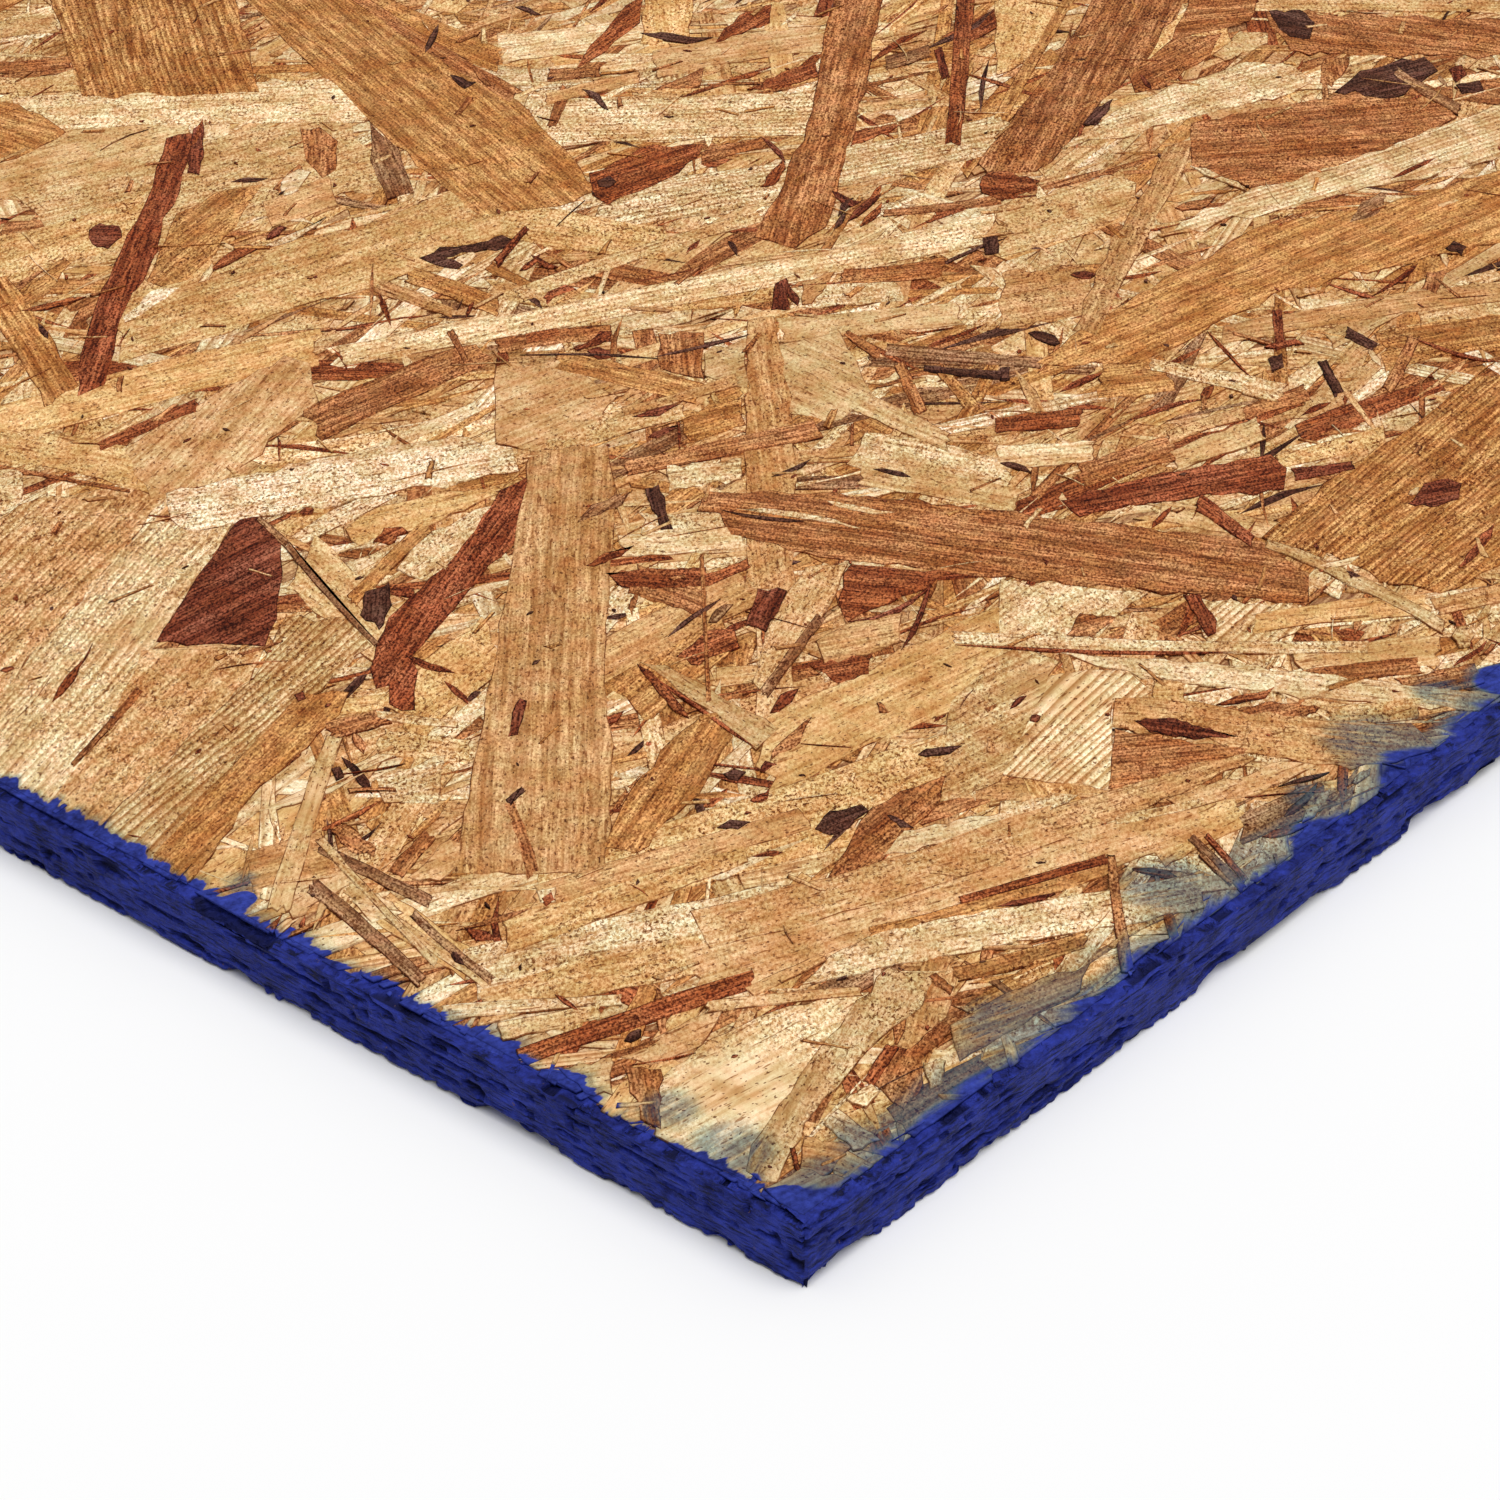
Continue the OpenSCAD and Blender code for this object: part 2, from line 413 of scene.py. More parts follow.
TOP_LEFT = [
    band("straw", (-10, 170), (190, 118), 60, 70, level=0),
    band("straw", (30, 225), (375, 140), 95, 90, level=0),
    band("golden", (-10, 262), (150, 210), 50, 40, level=0),
    band("golden", (-10, 428), (320, 345), 44, 36, level=0),
    band("honey", (345, -8), (500, 60), 30, 26, level=0),
    band("straw", (-10, 30), (58, 22), 18),
    band("brown", (-10, 66), (72, 60), 12),
    band("straw", (-10, 84), (84, 80), 16),
    chip("honey", (1, 0.3), (-10, 103), (18, 103), (40, 113), (66, 131), (28, 152), (-10, 166), level=1.5),
    band("cream", (10, 113), (368, 98), 38, 44),
    chip("honey", (0.35, 1), (49, -8), (81, 96), (261, 92), (234, -8), figure=0.7),
    band("golden", (118, 328), (500, 205), 66, 62),
    chip("salmon", (1, -0.97), (205, 400), (284, 354), (310, 362), (318, 400), (225, 480), (150, 498),
         (122, 447), figure=0.4),
    band("brown", (312, 425), (485, 352), 38, 28),
    band("russet", (98, 446), (198, 403), 10, 14),
    band("honey", (-10, 285), (62, 395), 42, 40, figure=0.6),
    chip("umber", (-0.35, 1), (166, 137), (193, 132), (188, 160), (174, 204), (150, 265), (121, 319),
         (105, 383), (77, 395), (78, 370), (96, 303), (121, 249), (144, 204), (156, 166)),
    chip("maroon", (0, 1), (193, 128), (203, 121), (204, 150), (199, 174), (187, 172), level=2),
    chip("grey", (0.4, 1), (370, 121), (400, 150), (414, 191), (387, 198), (370, 159)),
    chip("honey", (1, -0.8), (176, 212), (228, 188), (264, 182), (236, 226), (180, 286), (146, 280),
         level=0.5),
    chip("tan", (1, -0.35), (262, 200), (330, 176), (338, 204), (272, 226), level=0.5),
    chip("brown", (0, 1), (300, 128), (320, 126), (338, 140), (336, 168), (322, 177), (306, 160)),
    band("brown", (276, 190), (302, 166), 8, 10),
    chip("milk", (1, -0.3), (280, 188), (286, 175), (299, 168), (311, 171), (298, 189), (284, 195),
         level=2),
    chip("maroon", (1, 0), (89, 229), (100, 222), (119, 225), (122, 236), (108, 248), (92, 243), level=2),
    chip("milk", (1, -0.5), (122, 316), (150, 290), (181, 286), (150, 308), (124, 322)),
    chip("honey", (1, -0.6), (24, 306), (32, 280), (64, 256), (71, 262), (48, 292)),
    splinter("russet", (208, 272), (262, 243), 11),
    splinter("milk", (254, 248), (327, 217), 7),
    splinter("russet", (20, 310), (86, 294), 7),
    splinter("russet", (203, 118), (193, 148), 9),
    band("honey", (408, 272), (497, 306), 16, 20),
    band("cream", (400, 290), (440, 305), 14, 12),
    chip("honey", (1, 0.85), (239, -8), (335, -8), (440, 50), (530, 110), (600, 188), (560, 205),
         (478, 214), (370, 121)),
    band("brown", (352, -8), (516, 96), 12, 18),
    band("brown", (450, 330), (466, 360), 8, 6, level=2),
    splinter("bark", (231, 181), (268, 179), 5),
    splinter("bark", (38, 322), (49, 337), 8),
    splinter("maroon", (266, 238), (285, 224), 9),
    splinter("cream", (198, 282), (214, 264), 8),
    chip("bark", (1, -0.25), (419, 257), (448, 246), (488, 240), (502, 234), (513, 239), (504, 247),
         (470, 251), (444, 257), (463, 264), (458, 268), (430, 262), level=2),
    band("umber", (496, 263), (527, 227), 9, 5, level=2.5),
    band("tan", (378, 284), (452, 312), 16, 10),
    band("honey", (488, 264), (534, 286), 12, 8),
    splinter("umber", (519, 270), (541, 254), 6),
    splinter("umber", (531, 254), (557, 268), 6),
    splinter("umber", (466, 316), (473, 300), 6),
    splinter("umber", (543, 297), (575, 285), 9),
    chip("umber", (1, -0.5), (573, 347), (590, 340), (600, 330), (612, 330), (611, 340), (592, 345),
         (578, 350), level=2),
    chip("maroon", (1, 0.1), (587, 350), (598, 346), (610, 350), (611, 356), (598, 359), level=2),
    splinter("brown", (373, 262), (371, 318), 4),
    splinter("bark", (425, 52), (440, 24), 8),
    splinter("bark", (450, 74), (472, 88), 9),
    splinter("brown", (472, 66), (492, 88), 9),
    splinter("brown", (455, 42), (482, 30), 7),
]

TOP_MIDDLE = [
    band("cream", (500, 47), (645, 26), 30, 26, level=0, figure=0.3),
    band("salmon", (655, 62), (825, 38), 28, 26, level=0),
    band("cream", (522, 118), (820, 112), 48, 46, level=0, figure=0.4),
    band("cream", (600, 208), (1015, 128), 44, 36, level=0, figure=0.6),
    band("golden", (500, 217), (665, 242), 40, 36, level=0),
    band("cream", (790, 297), (900, 288), 22, 26, level=0),
    band("golden", (640, 300), (780, 285), 26, 26, level=0),
    band("straw", (780, 330), (960, 312), 26, 22, level=0),
    band("cream", (855, 448), (1010, 480), 38, 44, level=0),
    chip("salmon", (1, -0.4), (496, 365), (560, 358), (618, 395), (592, 427), (540, 452), (496, 442)),
    chip("olive", (1, -0.3), (704, 352), (747, 336), (747, 386), (704, 374)),
    chip("olive", (1, 0.5), (770, 345), (840, 330), (872, 392), (842, 418), (782, 412)),
    band("honey", (556, 358), (700, 392), 20, 24),
    band("straw", (518, 294), (762, 214), 16, 12),
    band("brown", (498, 346), (612, 331), 14, 16),
    band("russet", (524, 338), (560, 330), 12, 10),
    band("olive", (857, 400), (950, 442), 22, 20),
    chip("honey", (1, -0.25), (676, 412), (742, 396), (746, 424), (690, 440)),
    band("straw", (546, 448), (684, 409), 20, 16),
    chip("golden", (0.1, 1), (643, -8), (692, -8), (690, 36), (640, 42)),
    chip("russet", (1, -0.6), (715, 42), (738, 15), (772, 3), (770, 22)),
    chip("russet", (1, -0.7), (576, 68), (590, 44), (626, 4), (644, -6), (640, 22), (604, 52)),
    band("brown", (548, 74), (600, 70), 14, 10),
    band("brown", (568, 86), (551, 126), 14, 9),
    band("tan", (545, 98), (640, 76), 12, 12),
    chip("brown", (1, -0.3), (655, 88), (704, 66), (700, 86)),
    chip("russet", (1, -0.35), (589, 172), (653, 143), (704, 143), (679, 172), (608, 204), (592, 194)),
    band("brown", (701, 157), (772, 140), 12, 12),
    chip("russet", (1, -0.4), (747, 88), (815, 57), (818, 76), (775, 88)),
    chip("russet", (1, -0.3), (855, 130), (902, 124), (850, 146)),
    band("cream", (341, 355), (992, 226), 22, 28, figure=0.35),
    chip("brown", (-0.3, 1), (835, -8), (885, -8), (868, 75), (845, 160), (826, 226), (795, 247),
         (754, 236), (778, 195), (812, 110), (822, 50)),
    band("russet", (966, -8), (953, 144), 19, 16),
    band("brown", (841, 275), (944, 265), 16, 18),
    chip("brown", (0.1, 1), (658, 332), (704, 331), (704, 377), (660, 367)),
    chip("tan", (0.15, 1), (747, 319), (774, 315), (785, 360), (793, 420), (796, 590), (744, 586),
         (746, 424)),
    band("brown", (626, 467), (818, 427), 16, 20),
    band("tan", (623, 411), (738, 378), 9, 12),
    chip("maroon", (0.1, 1), (775, 283), (787, 277), (790, 308), (771, 309), level=2),
    chip("maroon", (0.5, 1), (786, 280), (800, 298), (798, 305), (788, 296), level=2),
    chip("tan", (1, -0.6), (802, 282), (835, 271), (812, 303), (802, 304), level=2),
    band("grey", (886, 348), (1042, 362), 13, 11),
    band("bark", (924, 367), (1002, 374), 6, 9, level=2),
    band("brown", (899, 360), (921, 411), 12, 14),
    band("honey", (940, 367), (972, 405), 12, 14),
    band("brown", (846, 331), (880, 354), 7, 12),
    band("grey", (886, 62), (930, 50), 14, 12, level=2),
    band("maroon", (938, 47), (946, 77), 9, 9, level=2),
    band("brown", (883, 212), (1000, 198), 7, 9),
    chip("bark", (0, 1), (983, 234), (997, 232), (999, 252), (985, 253), level=2),
    chip("bark", (1, 0), (597, 180), (609, 175), (617, 181), (609, 187), (599, 186), level=2),
    chip("cream", (1, -0.1), (666, 464), (742, 457), (742, 478), (669, 490)),
    splinter("bark", (520, 354), (660, 357), 2.5),
    splinter("bark", (655, 356), (750, 333), 4),
    splinter("bark", (771, 476), (811, 459), 5),
    splinter("bark", (873, 468), (911, 476), 6),
    splinter("maroon", (832, 190), (858, 206), 8),
    splinter("bark", (838, 215), (852, 196), 8),
    splinter("maroon", (848, 220), (880, 192), 8),
    splinter("russet", (860, 226), (886, 206), 9),
    splinter("bark", (834, 228), (846, 212), 7),
    splinter("russet", (868, 200), (882, 184), 6),
    splinter("maroon", (761, 136), (788, 160), 6),
    chip("russet", (-0.6, 1), (770, 172), (783, 158), (786, 168), (774, 184), (760, 186), level=2),
    splinter("bark", (582, 88), (608, 110), 8),
    splinter("bark", (640, 32), (712, 42), 8),
    splinter("bark", (728, 240), (738, 254), 6),
    splinter("bark", (515, 6), (540, 16), 5),
    splinter("maroon", (632, 416), (680, 404), 8),
    splinter("maroon", (648, 436), (676, 424), 8),
]

TOP_RIGHT = [
    band("straw", (1000, 232), (1135, 188), 50, 46, level=0),
    band("tan", (1000, 300), (1090, 285), 60, 50, level=0),
    band("straw", (1255, 4), (1510, 6), 14, 14, level=0),
    band("golden", (1120, 60), (1230, 20), 50, 50, level=0),
    band("cream", (1300, 306), (1420, 302), 18, 16, level=0),
    band("straw", (1420, 320), (1510, 300), 46, 40, level=0),
    band("tan", (1223, 334), (1510, 290), 18, 22),
    band("honey", (1380, 350), (1510, 330), 40, 36, level=0),
    chip("golden", (0.4, -1), (996, -8), (1060, -8), (1050, 40), (1010, 70), (996, 74)),
    band("honey", (1073, -8), (1000, 118), 11, 14),
    chip("brown", (1, -0.1), (1190, -8), (1257, -8), (1250, 20), (1172, 38)),
    chip("brown", (1, -0.5), (1128, 72), (1172, 38), (1222, 32), (1210, 55), (1160, 88), (1135, 92)),
    chip("straw", (1, -0.3), (1213, 54), (1240, 30), (1268, 32), (1268, 42), (1225, 60)),
    chip("brown", (1, -0.08), (1191, 122), (1281, 105), (1345, 90), (1445, 103), (1457, 116), (1380, 170),
         (1250, 187), (1192, 166)),
    chip("cream", (1, -0.3), (1061, 148), (1128, 102), (1242, 61), (1287, 61), (1314, 80), (1287, 93),
         (1153, 125), figure=0.4),
    chip("cream", (1, -0.33), (1172, 232), (1204, 207), (1265, 185), (1351, 159), (1462, 118), (1510, 102),
         (1510, 156), (1351, 192), (1249, 218), figure=0.6),
    chip("honey", (1, -0.42), (1035, 362), (1137, 293), (1265, 223), (1383, 204), (1510, 166), (1510, 240),
         (1287, 287), (1140, 362), figure=0.2),
    chip("brown", (-0.55, 1), (1096, -8), (1192, -8), (1150, 55), (1095, 110), (1052, 160), (1000, 180),
         (978, 162), (1000, 135), (1050, 70)),
    chip("russet", (1, 0.1), (982, 176), (1006, 170), (1040, 180), (1002, 200), (982, 192), level=2),
    chip("tan", (-0.5, 1), (1166, 146), (1192, 138), (1184, 170), (1150, 230), (1112, 300), (1096, 336),
         (1072, 330), (1096, 270), (1140, 196)),
    chip("brown", (1, 0.12), (1265, 10), (1330, 14), (1510, 18), (1510, 56), (1330, 53), (1290, 48),
         (1270, 25)),
    chip("bark", (1, 0.2), (1269, 10), (1300, 9), (1315, 22), (1310, 38), (1290, 36), (1276, 22), level=2),
    chip("bark", (1, -0.25), (1335, 91), (1360, 70), (1424, 56), (1438, 70), (1395, 97), level=2),
    band("grey", (1395, 70), (1460, 109), 9, 11, level=2),
    chip("brown", (0.2, 1), (1320, 82), (1324, 58), (1350, 56), (1345, 70), (1332, 86)),
    chip("maroon", (0, 1), (1449, 68), (1462, 64), (1467, 74), (1456, 82), level=2),
    chip("bark", (1, 0), (1456, 84), (1480, 80), (1484, 90), (1462, 93), level=2),
    chip("grey", (1, -0.5), (1349, 222), (1362, 200), (1388, 192), (1380, 212)),
    band("russet", (996, 424), (1080, 416), 16, 20),
    band("cream", (996, 456), (1095, 450), 24, 22, level=0),
    band("brown", (1080, 474), (1174, 446), 24, 26),
    band("straw", (1172, 460), (1262, 427), 22, 24),
    band("brown", (1242, 412), (1308, 391), 12, 18),
    band("tan", (1168, 438), (1245, 412), 14, 12),
    band("golden", (1277, 460), (1384, 434), 14, 20),
    band("cream", (1150, 363), (1284, 393), 12, 22),
    band("honey", (1100, 380), (1170, 372), 34, 40, level=0),
    chip("umber", (1, -0.2), (1061, 499), (1147, 476), (1271, 453), (1287, 467), (1284, 488), (1223, 493),
         (1143, 503), (1080, 516)),
    band("maroon", (1293, 473), (1354, 464), 12, 9, level=2),
    band("umber", (1277, 309), (1281, 348), 10, 11, level=2),
    splinter("umber", (1264, 346), (1304, 339), 9),
    chip("bark", (1, -0.3), (1268, 358), (1282, 352), (1284, 366), (1272, 371), level=2),
    band("bark", (1346, 331), (1375, 346), 11, 9, level=2),
    band("bark", (1322, 360), (1339, 393), 9, 11, level=2),
    splinter("russet", (1207, 330), (1252, 378), 4),
    band("brown", (1387, 389), (1415, 335), 12, 13),
    splinter("bark", (1028, 332), (1061, 340), 14),
    chip("bark", (1, 0), (1000, 367), (1010, 366), (1010, 379), (1000, 380), level=2),
    chip("bark", (1, 0.1), (1445, 248), (1454, 240), (1467, 246), (1462, 254), level=2),
    chip("brown", (-0.3, 1), (1421, 288), (1427, 271), (1447, 271), (1437, 294)),
    splinter("cream", (1190, 165), (1248, 189), 8),
    splinter("brown", (1175, 207), (1218, 199), 10),
    chip("bark", (1, -0.8), (1083, 124), (1092, 112), (1113, 98), (1110, 108), (1098, 124), level=2),
    splinter("umber", (1391, 178), (1435, 157), 6),
    splinter("maroon", (1070, 274), (1096, 276), 9),
    splinter("bark", (1000, 462), (1032, 470), 7),
    splinter("maroon", (1140, 74), (1152, 88), 6),
    splinter("umber", (1415, 338), (1500, 362), 5),
]

LEFT = [
    chip("salmon", (1, -1), (-10, 520), (35, 498), (128, 484), (160, 498), (140, 530), (60, 622),
         (-10, 700), figure=0.7, level=0),
    chip("cream", (1, -1.15), (150, 518), (235, 518), (158, 642), (112, 722), (52, 812), (-10, 800),
         (-10, 700), (60, 620), figure=0.6, level=0, soak=0.2),
    chip("salmon", (1, -1), (140, 648), (265, 645), (250, 680), (110, 850), (40, 810), (112, 720),
         figure=0.2, level=0),
    chip("olive", (1, -0.95), (285, 617), (345, 616), (372, 645), (345, 667), (250, 747), (150, 872),
         (90, 836), (180, 745), (262, 665), figure=1.0),
    chip("honey", (1, -0.95), (300, 690), (349, 691), (340, 713), (250, 797), (190, 880), (150, 885),
         (152, 853), (245, 750)),
    chip("milk", (1, -0.16), (166, 492), (319, 457), (453, 435), (512, 446), (520, 470), (370, 496),
         (265, 515), (191, 530), (170, 518)),
    band("golden", (-10, 442), (172, 478), 34, 42, level=0),
    band("brown", (-10, 464), (130, 490), 5, 4),
    chip("cream", (1, 0), (-8, 465), (22, 470), (22, 498), (-8, 500)),
    chip("golden", (1, -0.25), (345, 528), (380, 505), (478, 487), (500, 492), (440, 520), (360, 545)),
    chip("cream", (1, -0.7), (396, 568), (432, 530), (490, 505), (512, 498), (470, 552), (425, 580)),
    band("straw", (300, 560), (390, 640), 60, 60, level=0),
    band("golden", (400, 720), (500, 640), 60, 60, level=0),
    band("honey", (351, 600), (427, 524), 14, 16),
    chip("maroon", (1, -0.5), (156, 641), (223, 540), (239, 518), (255, 515), (281, 540), (277, 617),
         (265, 645)),
    chip("umber", (-0.7, 1), (527, 476), (500, 489), (453, 556), (399, 607), (376, 642), (370, 668),
         (376, 687), (389, 684), (389, 703), (415, 709), (418, 671), (411, 655), (446, 617), (478, 579),
         (515, 540), (532, 520)),
    band("umber", (520, 495), (470, 560), 9, 7, level=2),
    chip("bark", (0, 1), (365, 591), (389, 582), (392, 604), (379, 629), (360, 614), level=2),
    band("grey", (258, 517), (287, 543), 6, 8, level=2),
    band("grey", (287, 543), (377, 644), 8, 6, level=2),
    splinter("umber", (405, 654), (455, 672), 8),
    splinter("umber", (444, 680), (470, 701), 7),
    band("umber", (392, 590), (414, 592), 8, 10, level=2),
    chip("russet", (1, -0.5), (373, 541), (384, 527), (402, 526), (408, 531), (390, 543), level=2),
    chip("umber", (1, 0), (299, 511), (306, 506), (314, 508), (312, 513), (303, 514), level=2),
    splinter("russet", (52, 701), (81, 659), 9),
    band("brown", (72, 764), (106, 728), 5, 7, level=2),
    band("brown", (106, 728), (140, 688), 7, 8, level=2),
    splinter("bark", (108, 602), (136, 590), 4),
    splinter("umber", (0, 670), (14, 666), 6),
    chip("maroon", (1, 0), (294, 694), (303, 690), (306, 698), (298, 701), level=2),
    band("brown", (328, 730), (388, 714), 20, 16),
    band("cream", (376, 713), (458, 723), 9, 8),
    band("straw", (380, 740), (470, 750), 26, 24, level=0),
    band("olive", (335, 735), (279, 908), 18, 26),
    chip("bark", (0, 1), (331, 768), (340, 766), (344, 776), (336, 780), level=2),
    band("brown", (348, 790), (396, 789), 5, 4, level=2),
    chip("cream", (1, -0.3), (374, 778), (446, 754), (438, 803), (384, 802)),
    chip("brown", (1, 0.6), (330, 830), (345, 822), (376, 846), (374, 856), (352, 852)),
    band("grey", (319, 846), (430, 900), 11, 14),
    band("brown", (395, 874), (430, 833), 16, 14),
    chip("salmon", (1, -0.4), (408, 876), (450, 838), (470, 846), (440, 880)),
    band("olive", (319, 838), (436, 962), 9, 8, level=2),
    band("olive", (346, 886), (488, 984), 13, 10),
    band("grey", (310, 883), (422, 980), 17, 14),
    band("grey", (412, 912), (492, 980), 8, 10, level=2),
    band("golden", (380, 905), (470, 965), 34, 30, level=0),
    chip("cream", (1, 0.2), (352, 900), (378, 892), (404, 912), (372, 922)),
    splinter("bark", (450, 950), (466, 964), 10),
    band("salmon", (286, 900), (360, 858), 40, 40, level=0),
    band("tan", (250, 870), (330, 850), 40, 50, level=0),
    splinter("bark", (466, 700), (480, 690), 6),
]

MIDDLE = [
    band("golden", (540, 892), (1005, 742), 62, 56, level=0),
    band("honey", (620, 700), (720, 620), 70, 60, level=0),
    band("golden", (760, 760), (1010, 640), 70, 80, level=0, figure=0.2),
    band("cream", (640, 530), (760, 528), 40, 40, level=0),
    band("tan", (545, 692), (752, 584), 42, 38, level=0),
    band("straw", (860, 470), (1020, 500), 30, 26, level=0),
    chip("tan", (-0.05, 1), (531, 450), (608, 445), (618, 495), (605, 655), (612, 760), (606, 872),
         (452, 872), (470, 780), (496, 655), (512, 560), figure=0.2),
    band("brown", (632, 578), (704, 604), 30, 26),
    band("cream", (618, 545), (744, 534), 22, 26),
    chip("russet", (1, 0.05), (604, 572), (640, 568), (706, 566), (708, 584), (660, 588), (622, 586)),
    band("russet", (704, 580), (750, 562), 12, 10),
    chip("russet", (1, -0.4), (676, 656), (706, 630), (735, 628), (740, 646), (700, 664)),
    band("brown", (700, 500), (830, 508), 22, 30),
    chip("brown", (1, 0.14), (712, 492), (819, 492), (1000, 509), (1083, 521), (1261, 540), (1309, 572),
         (1309, 601), (1179, 591), (946, 570), (819, 556), (730, 534)),
    splinter("cream", (736, 508), (860, 526), 7),
    splinter("cream", (826, 500), (896, 513), 7),
    splinter("bark", (720, 509), (808, 520), 5),
    chip("russet", (1, 0.1), (851, 563), (953, 572), (848, 621), (838, 598)),
    splinter("maroon", (848, 621), (932, 584), 5),
    splinter("maroon", (931, 582), (903, 650), 7),
    chip("tan", (1, -0.2), (816, 640), (850, 622), (902, 612), (900, 640), (868, 654), (824, 662)),
    chip("russet", (1, -0.2), (810, 664), (873, 652), (869, 673), (838, 682)),
    chip("salmon", (-0.6, 1), (806, 566), (848, 563), (822, 617), (765, 694), (752, 681), (765, 633),
         (787, 591)),
    band("grey", (821, 615), (764, 693), 10, 12, level=2),
    chip("maroon", (0.5, -1), (758, 588), (787, 590), (766, 631), (746, 624), level=2),
    chip("olive", (1, 0.58), (640, 661), (666, 664), (778, 728), (756, 749), (704, 706)),
    splinter("russet", (637, 663), (686, 720), 13),
    splinter("umber", (640, 668), (756, 750), 5),
    band("brown", (702, 553), (709, 701), 4, 5, level=2),
    chip("honey", (-0.7, 1), (704, 712), (733, 735), (700, 792), (655, 832), (637, 852), (603, 846),
         (630, 790), (672, 738)),
    chip("bark", (0.3, 1), (645, 488), (659, 484), (673, 528), (661, 529), level=2),
    chip("grey", (1, -0.6), (577, 522), (592, 504), (630, 490), (622, 504), (600, 514), level=2),
    chip("russet", (1, -0.35), (586, 565), (606, 552), (634, 545), (622, 555), (594, 566), level=2),
    chip("maroon", (-0.2, 1), (520, 698), (527, 700), (518, 734), (508, 736), (512, 712), level=2),
    chip("bark", (1, 0), (723, 773), (734, 768), (746, 771), (738, 780), (728, 778), level=2),
    chip("bark", (1, -0.1), (717, 827), (730, 819), (750, 821), (738, 829), level=2),
    chip("bark", (1, -0.4), (815, 828), (830, 810), (862, 804), (869, 810), (850, 826), (830, 834),
         level=2),
    chip("bark", (1, 0.4), (887, 814), (896, 816), (914, 827), (900, 827), level=2),
    chip("bark", (1, -0.15), (918, 754), (926, 748), (962, 745), (950, 753), (926, 756), level=2),
    chip("brown", (1, -0.8), (828, 876), (860, 820), (900, 790), (946, 774), (940, 800), (890, 850),
         (862, 880)),
    chip("cream", (1, -0.2), (882, 855), (904, 829), (1000, 812), (1022, 829), (923, 846)),
    band("brown", (508, 800), (534, 874), 12, 16),
    band("bark", (508, 802), (524, 788), 8, 6, level=2),
    chip("cream", (0, 1), (536, 890), (556, 886), (556, 902), (540, 902), level=2),
    chip("umber", (1, 0), (540, 898), (552, 890), (556, 900), (546, 906), level=2),
    splinter("umber", (770, 712), (800, 690), 14),
    chip("brown", (1, -0.4), (780, 742), (812, 716), (800, 742), (770, 760), level=2),
    splinter("umber", (750, 800), (772, 794), 8),
    splinter("bark", (668, 636), (722, 600), 6),
    splinter("grey", (708, 622), (732, 602), 12),
    splinter("maroon", (760, 770), (774, 760), 9),
]

